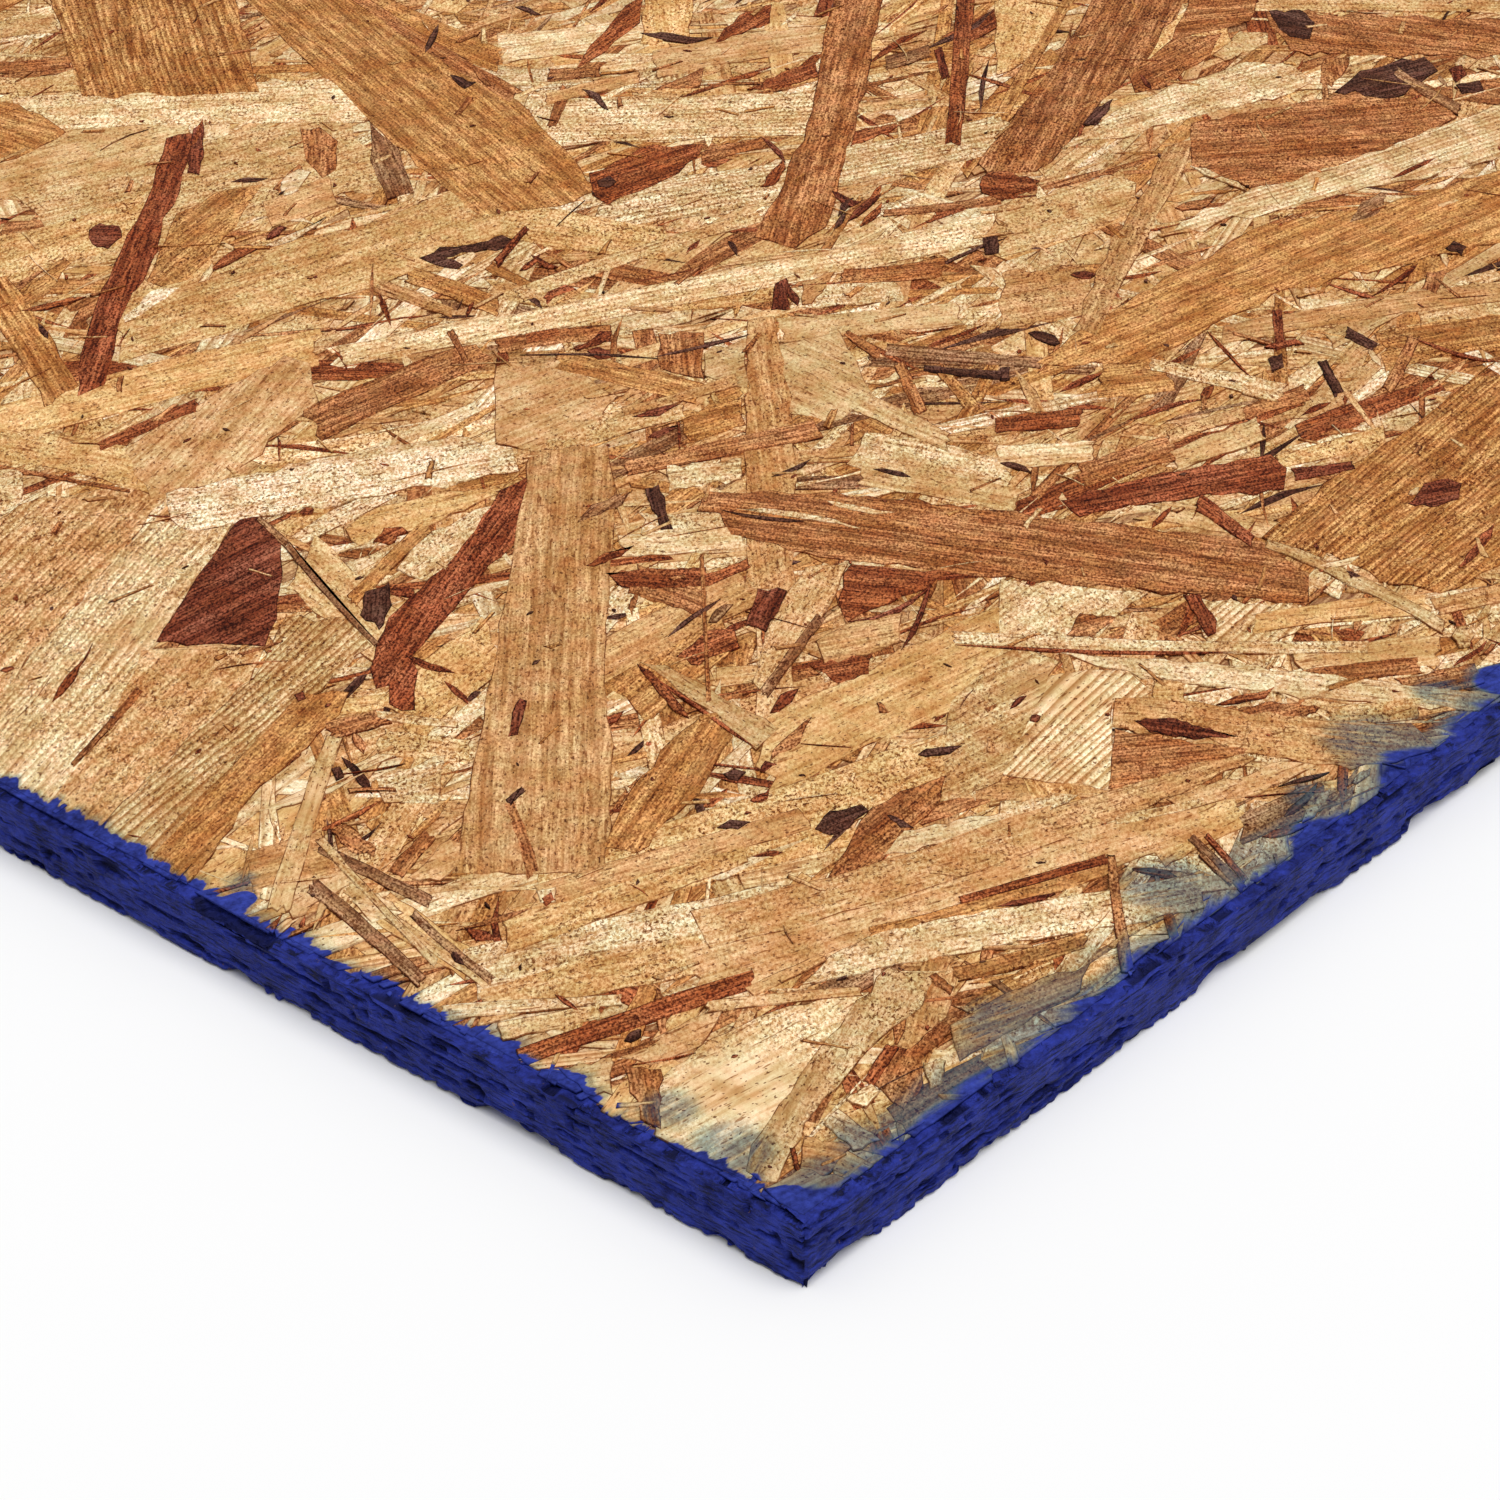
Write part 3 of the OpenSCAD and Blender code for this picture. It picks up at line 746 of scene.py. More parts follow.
RIGHT = [
    chip("cream", (1, -0.9), (1000, 680), (1120, 668), (1155, 690), (1113, 700), (1112, 790), (1000, 772),
         figure=1.0, level=0),
    chip("cream", (1, -0.9), (1190, 598), (1315, 604), (1340, 612), (1260, 645), (1210, 645), figure=0.9,
         level=0),
    chip("cream", (1, -0.7), (1000, 578), (1080, 585), (1148, 592), (1120, 612), (1090, 640), (1000, 638),
         figure=0.4, level=0),
    chip("straw", (1, -0.5), (950, 700), (1010, 640), (1060, 660), (1000, 780), (940, 800), level=0,
         figure=0.5),
    chip("honey", (1, -0.85), (1262, 536), (1351, 464), (1424, 416), (1476, 374), (1510, 372), (1510, 560),
         (1440, 592), (1380, 580), (1330, 552), (1290, 546), figure=0.8, soak=0.5),
    band("golden", (1255, 623), (1430, 604), 20, 24),
    band("tan", (1434, 606), (1510, 590), 18, 20),
    band("straw", (1300, 670), (1440, 650), 34, 30, level=0),
    band("brown", (1300, 678), (1420, 664), 18, 16),
    band("brown", (1400, 690), (1480, 672), 26, 22, soak=0.6),
    band("cream", (953, 636), (1368, 646), 14, 12),
    splinter("umber", (955, 644), (1240, 652), 4),
    chip("cream", (1, 0.1), (1054, 650), (1223, 664), (1383, 680), (1510, 694), (1510, 714), (1351, 700),
         (1204, 684), (1112, 668), soak=0.4),
    band("golden", (1153, 690), (1184, 690), 22, 22),
    splinter("russet", (1216, 704), (1276, 692), 9),
    chip("brown", (1, -0.3), (1220, 712), (1270, 700), (1320, 706), (1300, 720), (1240, 724)),
    band("straw", (1330, 716), (1420, 706), 22, 22, soak=0.8),
    chip("tan", (1, 0.1), (1115, 697), (1153, 696), (1319, 719), (1411, 722), (1440, 748), (1351, 768),
         (1271, 755), (1191, 733), (1137, 733), (1112, 726), soak=1.0),
    chip("maroon", (1, 0.15), (1134, 720), (1170, 717), (1238, 736), (1200, 738), (1150, 732), level=2),
    chip("brown", (1, -0.1), (1115, 728), (1166, 738), (1251, 748), (1191, 774), (1108, 788)),
    chip("tan", (1, -0.33), (1000, 822), (1110, 790), (1240, 752), (1257, 757), (1150, 806), (1050, 841),
         (1000, 857)),
    chip("salmon", (1, -0.35), (1166, 798), (1281, 760), (1316, 764), (1262, 792), (1190, 808), soak=0.8),
    band("cream", (1116, 818), (1206, 799), 10, 9),
    chip("cream", (1, -0.3), (1000, 800), (1078, 794), (1020, 836), (1000, 840)),
    band("golden", (1150, 850), (1240, 800), 46, 50, level=0, soak=0.6),
    band("grey", (1240, 830), (1330, 790), 30, 30, level=0, soak=0.9),
    band("grey", (1191, 836), (1243, 888), 8, 9, level=2, soak=0.6),
    band("umber", (1206, 834), (1246, 880), 6, 7, level=2, soak=0.5),
    band("grey", (1200, 852), (1232, 884), 6, 6, level=2, soak=0.6),
    splinter("bark", (1284, 816), (1322, 786), 10, soak=0.6),
    splinter("umber", (1262, 836), (1308, 822), 9, soak=0.6),
    splinter("bark", (1278, 786), (1330, 772), 5, soak=1.0),
    splinter("cream", (1302, 822), (1330, 788), 16, soak=0.8),
    splinter("cream", (1352, 782), (1372, 770), 10, soak=0.6),
    band("cream", (1128, 893), (1240, 880), 18, 16, soak=1.0),
    band("umber", (1198, 501), (1253, 541), 17, 11, level=2),
    chip("umber", (0.5, 1), (1183, 594), (1200, 593), (1217, 620), (1216, 632), (1208, 636), (1196, 614),
         level=2),
    band("olive", (1266, 543), (1350, 578), 9, 13, level=2),
    band("olive", (1350, 578), (1444, 627), 13, 13, level=2),
    chip("olive", (1, 0), (1451, 636), (1457, 626), (1468, 625), (1475, 634), (1470, 645), (1458, 646),
         level=2, soak=0.5),
    chip("maroon", (1, -0.2), (1408, 503), (1424, 483), (1440, 479), (1462, 483), (1459, 499), (1437, 506),
         level=2),
    splinter("umber", (1458, 567), (1496, 523), 13),
    splinter("bark", (1344, 570), (1362, 578), 6),
    splinter("cream", (1408, 494), (1420, 488), 8),
    splinter("cream", (1318, 566), (1360, 556), 9),
    chip("brown", (1, -0.3), (1066, 634), (1080, 612), (1116, 616), (1092, 636)),
    splinter("maroon", (1010, 708), (1026, 694), 8),
    splinter("maroon", (1030, 720), (1040, 714), 9),
]

BOTTOM = [
    chip("cream", (1, -0.55), (655, 1140), (660, 1078), (711, 1037), (790, 1004), (870, 990), (840, 1070),
         (748, 1180), level=0, soak=0.5),
    band("cream", (470, 973), (805, 903), 54, 50, level=0),
    band("straw", (478, 1006), (705, 952), 36, 40, level=0),
    band("golden", (502, 936), (748, 844), 32, 34),
    band("tan", (533, 898), (805, 818), 26, 24),
    band("salmon", (700, 930), (1060, 820), 44, 40),
    band("salmon", (690, 974), (1205, 814), 56, 40, level=0),
    band("honey", (870, 934), (1110, 862), 16, 20),
    band("russet", (960, 900), (1108, 858), 8, 10, level=2),
    splinter("maroon", (996, 906), (1056, 895), 7),
    chip("cream", (1, -0.2), (796, 990), (828, 956), (879, 931), (1019, 905), (1111, 889), (1204, 872),
         (1204, 906), (1115, 925), (955, 954), (879, 967), soak=0.7),
    band("cream", (440, 1012), (622, 998), 16, 10, soak=0.4),
    band("straw", (500, 1030), (600, 1010), 20, 14, soak=0.4),
    chip("salmon", (1, -0.4), (620, 1056), (690, 1018), (722, 1010), (700, 1046), (650, 1064)),
    chip("olive", (1, -0.2), (559, 1068), (609, 1052), (613, 1094), (585, 1092), soak=0.8),
    chip("brown", (0.2, 1), (622, 1064), (661, 1068), (661, 1128), (640, 1118), soak=0.5),
    band("russet", (521, 1056), (752, 978), 18, 20),
    band("tan", (748, 992), (826, 955), 13, 9),
    band("salmon", (706, 1006), (862, 990), 12, 10),
    chip("olive", (-0.6, 1), (888, 966), (936, 975), (923, 1004), (879, 1039), (805, 1122), (777, 1182),
         (746, 1170), (751, 1144), (828, 1036), soak=0.5),
    chip("brown", (-0.5, 1), (866, 1077), (880, 1052), (920, 1046), (924, 1087), (904, 1108), (882, 1089),
         soak=0.7),
    band("russet", (868, 1084), (893, 1046), 12, 14, level=2),
    band("brown", (915, 1054), (950, 1022), 17, 14, soak=0.7),
    chip("cream", (0, 1), (923, 1062), (946, 1060), (942, 1082), (930, 1088), level=2, soak=0.6),
    chip("cream", (1, 0.4), (823, 1123), (838, 1108), (880, 1139), (853, 1150), level=2, soak=1.0),
    chip("cream", (1, -0.5), (846, 1098), (872, 1082), (880, 1090), (866, 1108), level=2),
    chip("tan", (1, 0.2), (804, 1136), (853, 1145), (822, 1176), (796, 1180), soak=0.6),
    band("russet", (792, 1147), (796, 1164), 5, 6, level=2),
    band("russet", (796, 1164), (804, 1181), 6, 3, level=2),
    chip("brown", (0.8, 0.6), (928, 976), (936, 972), (954, 986), (950, 994), level=2),
    chip("tan", (1, -0.4), (950, 1024), (1010, 990), (1090, 962), (1080, 990), (1010, 1030), (960, 1060),
         soak=1.0),
    band("honey", (955, 974), (1086, 938), 16, 18, soak=1.0),
    band("grey", (900, 1120), (990, 1066), 40, 36, level=0, soak=1.0),
    band("brown", (1111, 854), (1128, 970), 9, 14, level=2, soak=0.6),
    splinter("cream", (830, 1186), (860, 1176), 7, soak=0.2),
    splinter("umber", (555, 994), (578, 1010), 6),
    chip("umber", (1, -0.3), (464, 926), (486, 930), (502, 938), (476, 940)),
    splinter("bark", (624, 1040), (642, 1030), 12),
    splinter("brown", (600, 1058), (660, 1040), 7),
    chip("olive", (1, -0.5), (764, 1188), (800, 1168), (846, 1178), (822, 1206), (806, 1219), (786, 1208),
         level=2, soak=1.0),
]

PHOTO_STRANDS = [*TOP_LEFT, *TOP_MIDDLE, *TOP_RIGHT, *LEFT, *MIDDLE, *RIGHT, *BOTTOM]

# Strands over the whole sheet

# Depths of the lowest and the highest strand of the list below the face
PHOTO_DEPTHS = (0.27 * MM, 0.02 * MM)
# Plain strands in the photo's view lie this far below those, and a share of their own depth more
PRESSED_GAP = 0.1 * MM
PRESSED_SHARE = 0.5
CLOSE_UP_MARGIN = 60
# Angle to the sheet's length, in degrees, around which the plain strands are laid
LAY_ANGLE = -8
# How much a strand may be lighter or darker than its tone: in the list, and among the plain ones
LISTED_SPREAD = 0.04
PLAIN_SPREAD = 0.06


def photo_strands(rng, view):
    """The strands that stand out in the photo, laid where it shows them, the lowest first."""
    marks = sorted(PHOTO_STRANDS, key=lambda mark: mark.level)
    strands = []
    for mark, depth in zip(marks, np.linspace(*PHOTO_DEPTHS, len(marks))):
        pixels = mark.pixels(rng)
        outline = np.array([view.on_face(*p) for p in pixels])
        middle = pixels.mean(0)
        run = np.subtract(view.on_face(*(middle + mark.grain)), view.on_face(*middle))
        angle = math.atan2(run[1], run[0])
        tone = linear(TONES[mark.tone]) * rng.normal(1, LISTED_SPREAD)
        strands.append(Strand(outline, angle, tone, depth, mark.figure, mark.soak, fine=True))
    return strands


def laid(local, place, angle):
    """A strand's outline turned to its angle with its middle at a place on the sheet."""
    local = local - (local.max(0) + local.min(0)) / 2
    cos, sin = math.cos(angle), math.sin(angle)
    return local @ np.array([[cos, sin], [-sin, cos]]) + place


def scattered(rng, cell):
    """Places over the whole sheet, one in each cell of a grid and moved at random inside it."""
    columns, rows = round(LENGTH / cell), round(WIDTH / cell)
    grid = np.stack(np.meshgrid(np.arange(columns), np.arange(rows), indexing="ij"), -1).reshape(-1, 2)
    share = (grid + rng.uniform(0, 1, grid.shape)) / (columns, rows)
    return (share - 0.5) * (LENGTH, WIDTH)


class Litter:
    """One size of random strand: how long and wide, how it lies, its tones and how deep it may be."""

    def __init__(self, cell, lengths, widths, depths, tones, turn, any_way, pointed=False, figured=0.0):
        self.cell = cell * MM
        self.lengths = lengths
        self.widths = widths
        self.depths = depths
        self.names = list(tones)
        self.chances = np.array(list(tones.values())) / sum(tones.values())
        self.turn = turn
        self.any_way = any_way
        self.pointed = pointed
        self.figured = figured

    def angle(self, rng):
        if rng.uniform() < self.any_way:
            return rng.uniform(-math.pi / 2, math.pi / 2)
        return math.radians(rng.normal(LAY_ANGLE, self.turn))

    def strand(self, rng, place, fine):
        length, width = rng.uniform(*self.lengths) * MM, rng.uniform(*self.widths) * MM
        if self.pointed:
            local = splinter_outline(rng, length, width, 2 if fine else 1)
        else:
            local = ragged_outline(rng, length, width, width * rng.uniform(0.4, 1), 4, 1)
        angle = self.angle(rng)
        tone = linear(TONES[rng.choice(self.names, p=self.chances)]) * rng.normal(1, PLAIN_SPREAD)
        figure = rng.uniform(0.3, 1) if rng.uniform() < self.figured else 0.0
        depth = rng.uniform(*self.depths) * MM
        return Strand(laid(local, place, angle), angle, tone, depth, figure, rng.uniform() ** 2, fine)


SHEET_LITTER = [
    Litter(24, (60, 125), (9, 24), (0.2, 0.5), TONE_SHARES, 24, 0.12, figured=0.3),
    Litter(29, (25, 75), (4, 11), (0.1, 0.35), TONE_SHARES, 30, 0.2, figured=0.15),
    Litter(26, (8, 40), (0.8, 3), (0.05, 0.3), SPLINTER_TONES, 36, 0.3, pointed=True),
    Litter(40, (2, 6), (0.8, 2.2), (0.02, 0.05), SPECK_TONES, 40, 0.5, pointed=True),
]
# Finer strands that only a close look shows, laid over the photo's corner: below its marks, then above them
UNDER_LITTER = [
    Litter(12, (24, 70), (2.5, 8), (0.29, 0.4), TONE_SHARES, 28, 0.15, figured=0.3),
    Litter(9, (6, 28), (0.7, 2.6), (0.275, 0.3), SPLINTER_TONES, 34, 0.2, pointed=True),
]
OVER_LITTER = [
    Litter(24, (2, 8), (0.5, 1.6), (0.012, 0.018), FLAKE_TONES, 30, 0.2),
    Litter(36, (4, 14), (0.2, 0.4), (0.01, 0.014), SPLINTER_TONES, 40, 0.3, pointed=True),
    Litter(26, (0.8, 2.2), (0.4, 1), (0.008, 0.012), SPECK_TONES, 40, 0.6, pointed=True),
]
# The unseen face has fewer strands
UNDERSIDE_SPACING = 1.25


def sheet_strands(rng, spacing=1):
    strands = []
    for litter in SHEET_LITTER:
        for place in scattered(rng, spacing * litter.cell):
            strands.append(litter.strand(rng, place, False))
    return strands


def close_up_strands(rng, view):
    strands = []
    for litter in (*UNDER_LITTER, *OVER_LITTER):
        places = scattered(rng, litter.cell)
        for place in places[view.shows(places, CLOSE_UP_MARGIN)]:
            strands.append(litter.strand(rng, place, True))
    return strands


def pressed_below(strands, view):
    """Pushes the plain strands that the photo shows below the ones that stand out there."""
    for strand in strands:
        if view.shows(strand.outline, CLOSE_UP_MARGIN).any():
            strand.depth = PHOTO_DEPTHS[0] + PRESSED_GAP + PRESSED_SHARE * strand.depth
            strand.fine = True


# How far from the sheet's edge a strand may end, under the sealer
SEALED_STRIP = (1.9 * MM, 3.3 * MM)


def face_pieces(label, strips, strands, rng, finish):
    """One joined mesh for each strip of the sheet."""
    borders = np.linspace(-HALF_WIDTH, HALF_WIDTH, strips + 1)
    piles = [StrandPile(rng, low, high) for low, high in zip(borders, borders[1:])]
    for strand in sorted(strands, key=lambda s: -s.depth):
        middle = strand.outline[:, 1].mean()
        strip = int(np.clip((middle / WIDTH + 0.5) * strips, 0, strips - 1))
        sealed = rng.uniform(*SEALED_STRIP)
        piles[strip].add_strand(strand, np.array([HALF_LENGTH - sealed, HALF_WIDTH - sealed]))
    return [pile.build(f"{label}_{i + 1}", finish) for i, pile in enumerate(piles)]


# Sawn edges

EDGE_DEPTH = 6.5 * MM
CORNER_WEAR = 0.8 * MM
# Run of edge on each side of the photo's corner that is cut finely, and the lengths of the cuts
FINE_RUN = 240 * MM
FINE_CUT = 0.5 * MM
PLAIN_CUT = 6 * MM
MOST_CUTS = 24
# Shorter edges, such as those round the sheet's corners, aren't cut
LEFT_WHOLE = 2 * MM
# Rows of points on the upper and the lower border, and up the wall
BORDER_ROWS = (10, 5)
WALL_ROWS = 20
# The edge's own map for baking: rows, the room at their ends and the share of its height that a row fills
EDGE_MAP_ROWS = 14
EDGE_MAP_MARGIN = 7 * MM
EDGE_MAP_FILL = 0.96
# How near to a face a point counts as lying in it
LEVEL = MM / 100
SEAM_REACH = 8 * MM
DEEPEST_HOLLOW = 1.2 * MM
# How far the whole edge stays inside the part's box
SKIN = 0.02 * MM


def select_edges(piece, wanted):
    """In edit mode, selects the edges whose two ends pass a test."""
    mesh = bmesh.from_edit_mesh(piece.data)
    for edge in mesh.edges:
        edge.select_set(wanted(edge.verts[0].co, edge.verts[1].co))
    bmesh.update_edit_mesh(piece.data)


def select_faces(piece, wanted):
    """In edit mode, selects the faces that pass a test."""
    mesh = bmesh.from_edit_mesh(piece.data)
    for face in mesh.faces:
        face.select_set(wanted(face))
    bmesh.update_edit_mesh(piece.data)


def along(axis, low, high, side):
    """Test for edges that run along an axis between two places, on one side of the sheet."""
    other = 1 - axis

    def wanted(a, b):
        middle = (a + b) / 2
        length = abs(a[axis] - b[axis])
        straight = length > 2 * abs(a[other] - b[other]) + 2 * abs(a.z - b.z)
        inside = low < middle[axis] < high and side * middle[other] > 0
        return straight and inside and length > LEFT_WHOLE

    return wanted


def cut_run(piece, axis, low, high, side, cut):
    """Cuts all edges along one run of the sheet's edge into equal lengths."""
    reach = (HALF_WIDTH if axis == 0 else HALF_LENGTH) - 2 * EDGE_DEPTH
    test = along(axis, low, high, side)
    other = 1 - axis
    lengths = round((high - low) / cut)
    while lengths > 1:
        cuts = min(lengths, MOST_CUTS)
        select_edges(piece, lambda a, b: test(a, b) and abs(a[other]) > reach)
        bpy.ops.mesh.subdivide(number_cuts=cuts - 1)
        lengths = round(lengths / cuts)


def plain_frame():
    """A frame around the sheet with its corners rounded, left in edit mode."""
    bpy.ops.object.select_all(action="DESELECT")
    bpy.ops.mesh.primitive_cube_add(size=1, location=(0, 0, THICKNESS / 2))
    piece = bpy.context.object
    piece.name = piece.data.name = "sealed_edge"
    piece.scale = (LENGTH, WIDTH, THICKNESS)
    bpy.ops.object.transform_apply(location=True, rotation=True, scale=True)
    bpy.ops.object.mode_set(mode="EDIT")
    bpy.ops.mesh.select_mode(type="EDGE")
    select_edges(piece, lambda a, b: abs(a.z - b.z) > THICKNESS / 2)
    bpy.ops.mesh.bevel(offset=CORNER_WEAR, segments=2, affect="EDGES")
    bpy.ops.mesh.select_mode(type="FACE")
    select_faces(piece, lambda face: abs(face.normal.z) > 0.5)
    bpy.ops.mesh.inset(thickness=EDGE_DEPTH, use_individual=True)
    bpy.ops.mesh.delete(type="FACE")
    bpy.ops.mesh.select_mode(type="EDGE")
    bpy.ops.mesh.select_all(action="DESELECT")
    bpy.ops.mesh.select_non_manifold(extend=False)
    bpy.ops.mesh.bridge_edge_loops()
    return piece


def edge_frame():
    """The frame, cut finely enough to take the relief of the sawn edge."""
    piece = plain_frame()
    for height, rows in zip((THICKNESS, 0), BORDER_ROWS):
        select_edges(piece, lambda a, b: crosses_border(a, b, height))
        bpy.ops.mesh.subdivide(number_cuts=rows)
    select_edges(piece, lambda a, b: abs(a.z - b.z) > THICKNESS / 2 and rim_distance(a) < MM)
    bpy.ops.mesh.subdivide(number_cuts=WALL_ROWS)
    near = (FINE_RUN - HALF_LENGTH, FINE_RUN - HALF_WIDTH)
    for axis, half in ((0, HALF_LENGTH), (1, HALF_WIDTH)):
        bpy.ops.mesh.select_all(action="SELECT")
        way = Vector((1, 0, 0)) if axis == 0 else Vector((0, 1, 0))
        bpy.ops.mesh.bisect(plane_co=way * near[axis], plane_no=way)
        cut_run(piece, axis, -half, near[axis], -1, FINE_CUT)
        cut_run(piece, axis, near[axis], half, -1, PLAIN_CUT)
        cut_run(piece, axis, -half, near[axis], 1, PLAIN_CUT)
        cut_run(piece, axis, near[axis], half, 1, PLAIN_CUT)
    bpy.ops.mesh.select_all(action="SELECT")
    bpy.ops.mesh.normals_make_consistent(inside=False)
    bpy.ops.object.mode_set(mode="OBJECT")
    return piece


def rim_distance(point):
    """Distance of a point inwards from the nearest of the sheet's four sides."""
    return min(HALF_LENGTH - abs(point[0]), HALF_WIDTH - abs(point[1]))


def crosses_border(a, b, height):
    """Whether an edge of the frame runs from the sheet's side inwards across one of its faces."""
    level = abs(a.z - height) < MM and abs(b.z - height) < MM
    return level and abs(rim_distance(a) - rim_distance(b)) > EDGE_DEPTH / 2


def lattice_noise(rng, along, across, cell_along, cell_across):
    """Smooth random field over two coordinates, from 0 to 1."""
    u = (along - along.min()) / cell_along
    v = (across - across.min()) / cell_across
    i, j = u.astype(int), v.astype(int)
    grid = rng.uniform(0, 1, (i.max() + 2, j.max() + 2))
    s, t = u - i, v - j
    s, t = s * s * (3 - 2 * s), t * t * (3 - 2 * t)
    low = grid[i, j] * (1 - s) + grid[i + 1, j] * s
    high = grid[i, j + 1] * (1 - s) + grid[i + 1, j + 1] * s
    return low * (1 - t) + high * t


def eased(value, low, high):
    share = np.clip((value - low) / (high - low), 0, 1)
    return share * share * (3 - 2 * share)


def cut_by_part(points, inward, part):
    """Points of the plain frame moved onto the part, so that its torn strands and open seams show."""
    moved = points.copy()
    for i, (point, way) in enumerate(zip(points, inward)):
        core = abs(point[2] - THICKNESS / 2) < THICKNESS / 4 and abs(way[2]) < 0.1
        if core:
            hit = part.ray_cast(Vector(point - way * MM), Vector(way), SEAM_REACH)[0]
        else:
            hit = part.find_nearest(Vector(point))[0]
        if hit is not None:
            moved[i] = hit
    return moved


def edge_relief(rng, run, girth, height):
    """Depths of the sawn roughness and of what is worn off the arrises, at each point of the edge."""
    streaks = lattice_noise(rng, run, girth, 9 * MM, 0.8 * MM)
    crumbs = lattice_noise(rng, run, girth, 1.2 * MM, 0.8 * MM)
    often = eased(lattice_noise(rng, run, girth, 11 * MM, 3 * MM), 0.2, 0.6)
    short_slits = eased(lattice_noise(rng, run, girth, 2.6 * MM, 0.8 * MM), 0.74, 0.92)
    long_slits = eased(lattice_noise(rng, run, girth, 9 * MM, 0.8 * MM), 0.72, 0.88)
    broken = eased(lattice_noise(rng, run, girth, 11 * MM, 9 * MM), 0.66, 0.9)
    broken *= 0.3 + lattice_noise(rng, run, girth, 1.5 * MM, 9 * MM)
    ragged = eased(lattice_noise(rng, run, girth, 1.1 * MM, 9 * MM), 0.45, 0.85)
    ragged *= 0.2 + 0.8 * lattice_noise(rng, run, girth, 14 * MM, 9 * MM)
    low = 1 - eased(height, 0.2 * MM, 2.6 * MM)
    slits = 1.15 * often * np.maximum(short_slits, long_slits)
    worn = eased(girth, EDGE_DEPTH - 1.6 * MM, EDGE_DEPTH - 0.3 * MM)
    sawn = np.maximum(0.5 * streaks + 0.4 * crumbs - 0.38, 0)
    rough = (sawn + slits) * (0.3 + 0.7 * worn)
    arris = np.exp(-((girth - EDGE_DEPTH) / (0.9 * MM)) ** 2)
    frayed = 0.1 + 0.6 * lattice_noise(rng, run, girth, 1.4 * MM, 3 * MM)
    worn_off = (2.8 * broken + 0.8 * ragged) * low + arris * frayed
    return rough * MM, worn_off * MM


def edge_folds(mesh, run, girth):
    """Map for baking: the frame unrolled and cut into rows one above the other."""
    corners = np.empty(len(mesh.loops), int)
    mesh.loops.foreach_get("vertex_index", corners)
    starts = np.empty(len(mesh.polygons), int)
    mesh.polygons.foreach_get("loop_start", starts)
    face = np.repeat(np.arange(len(starts)), np.diff(np.append(starts, len(corners))))
    row_run = 2 * (LENGTH + WIDTH) / EDGE_MAP_ROWS
    middle = np.bincount(face, run[corners]) / np.bincount(face)
    row = np.clip((middle / row_run).astype(int), 0, EDGE_MAP_ROWS - 1)[face]
    u = (run[corners] - row * row_run + EDGE_MAP_MARGIN) / (row_run + 2 * EDGE_MAP_MARGIN)
    v = (row + EDGE_MAP_FILL * girth[corners] / girth.max()) / EDGE_MAP_ROWS
    folds = np.c_[np.clip(u, 0, 1), v].astype(np.float32)
    mesh.uv_layers.new(name="OFBake").uv.foreach_set("vector", folds.ravel())


def read_points(mesh, label):
    """The places or the normals of all points of a mesh."""
    flat = np.empty(3 * len(mesh.vertices), np.float32)
    mesh.vertices.foreach_get(label, flat)
    return flat.reshape(-1, 3).astype(float)


def unrolled(points, depth):
    """How far each point lies along the sheet's outline, and around from the upper face to the lower one."""
    x, y, z = points.T
    long_side = HALF_WIDTH - abs(y) < HALF_LENGTH - abs(x)
    run = np.where(long_side, x + HALF_LENGTH, y + HALF_WIDTH + 2 * LENGTH)
    run += np.where(long_side, (y > 0) * LENGTH, (x > 0) * WIDTH)
    top, bottom = z > THICKNESS - LEVEL, z < LEVEL
    girth = np.where(top, EDGE_DEPTH - depth, np.where(bottom, EDGE_DEPTH + THICKNESS + depth, 0))
    return run, np.where(top | bottom, girth, EDGE_DEPTH + THICKNESS - z)


def tucked_in(moved, height, depth):
    """The frame's borders sunk below the face strands, and all of it kept inside the part's box."""
    sunk = 0.05 * MM + 0.85 * MM * eased(depth, 2.4 * MM, 3.8 * MM)
    top, bottom = height > THICKNESS - LEVEL, height < LEVEL
    moved[:, 2] = np.where(top, np.minimum(moved[:, 2], THICKNESS - sunk), moved[:, 2])
    moved[:, 2] = np.where(bottom, np.maximum(moved[:, 2], sunk), moved[:, 2])
    low = [SKIN - HALF_LENGTH, SKIN - HALF_WIDTH, SKIN]
    high = [HALF_LENGTH - SKIN, HALF_WIDTH - SKIN, THICKNESS - SKIN]
    return np.clip(moved, low, high)


def sealed_edge(rng, part, finish):
    """The sawn edges all round, rough under their sealer."""
    piece = edge_frame()
    mesh = piece.data
    points = read_points(mesh, "co")
    x, y, z = points.T
    depth = np.minimum(HALF_LENGTH - abs(x), HALF_WIDTH - abs(y))
    run, girth = unrolled(points, depth)
    edge_folds(mesh, run, girth)

    inward = -read_points(mesh, "normal")
    moved = cut_by_part(points, inward, part)
    rough, worn_off = edge_relief(rng, run, girth, z)
    # How deep each point is sunk, without the worn arrises; the finish paints shade by it.
    hollow = np.linalg.norm(moved - points, axis=1) + rough
    moved += inward * (rough + worn_off)[:, None]
    moved = tucked_in(moved, z, depth)
    mesh.vertices.foreach_set("co", moved.astype(np.float32).ravel())
    hollow = np.clip(hollow / DEEPEST_HOLLOW, 0, 1)
    mesh.attributes.new("hollow", "FLOAT", "POINT").data.foreach_set("value", hollow.astype(np.float32))
    mesh.update()
    mesh.materials.append(finish)
    return piece


# Finishes


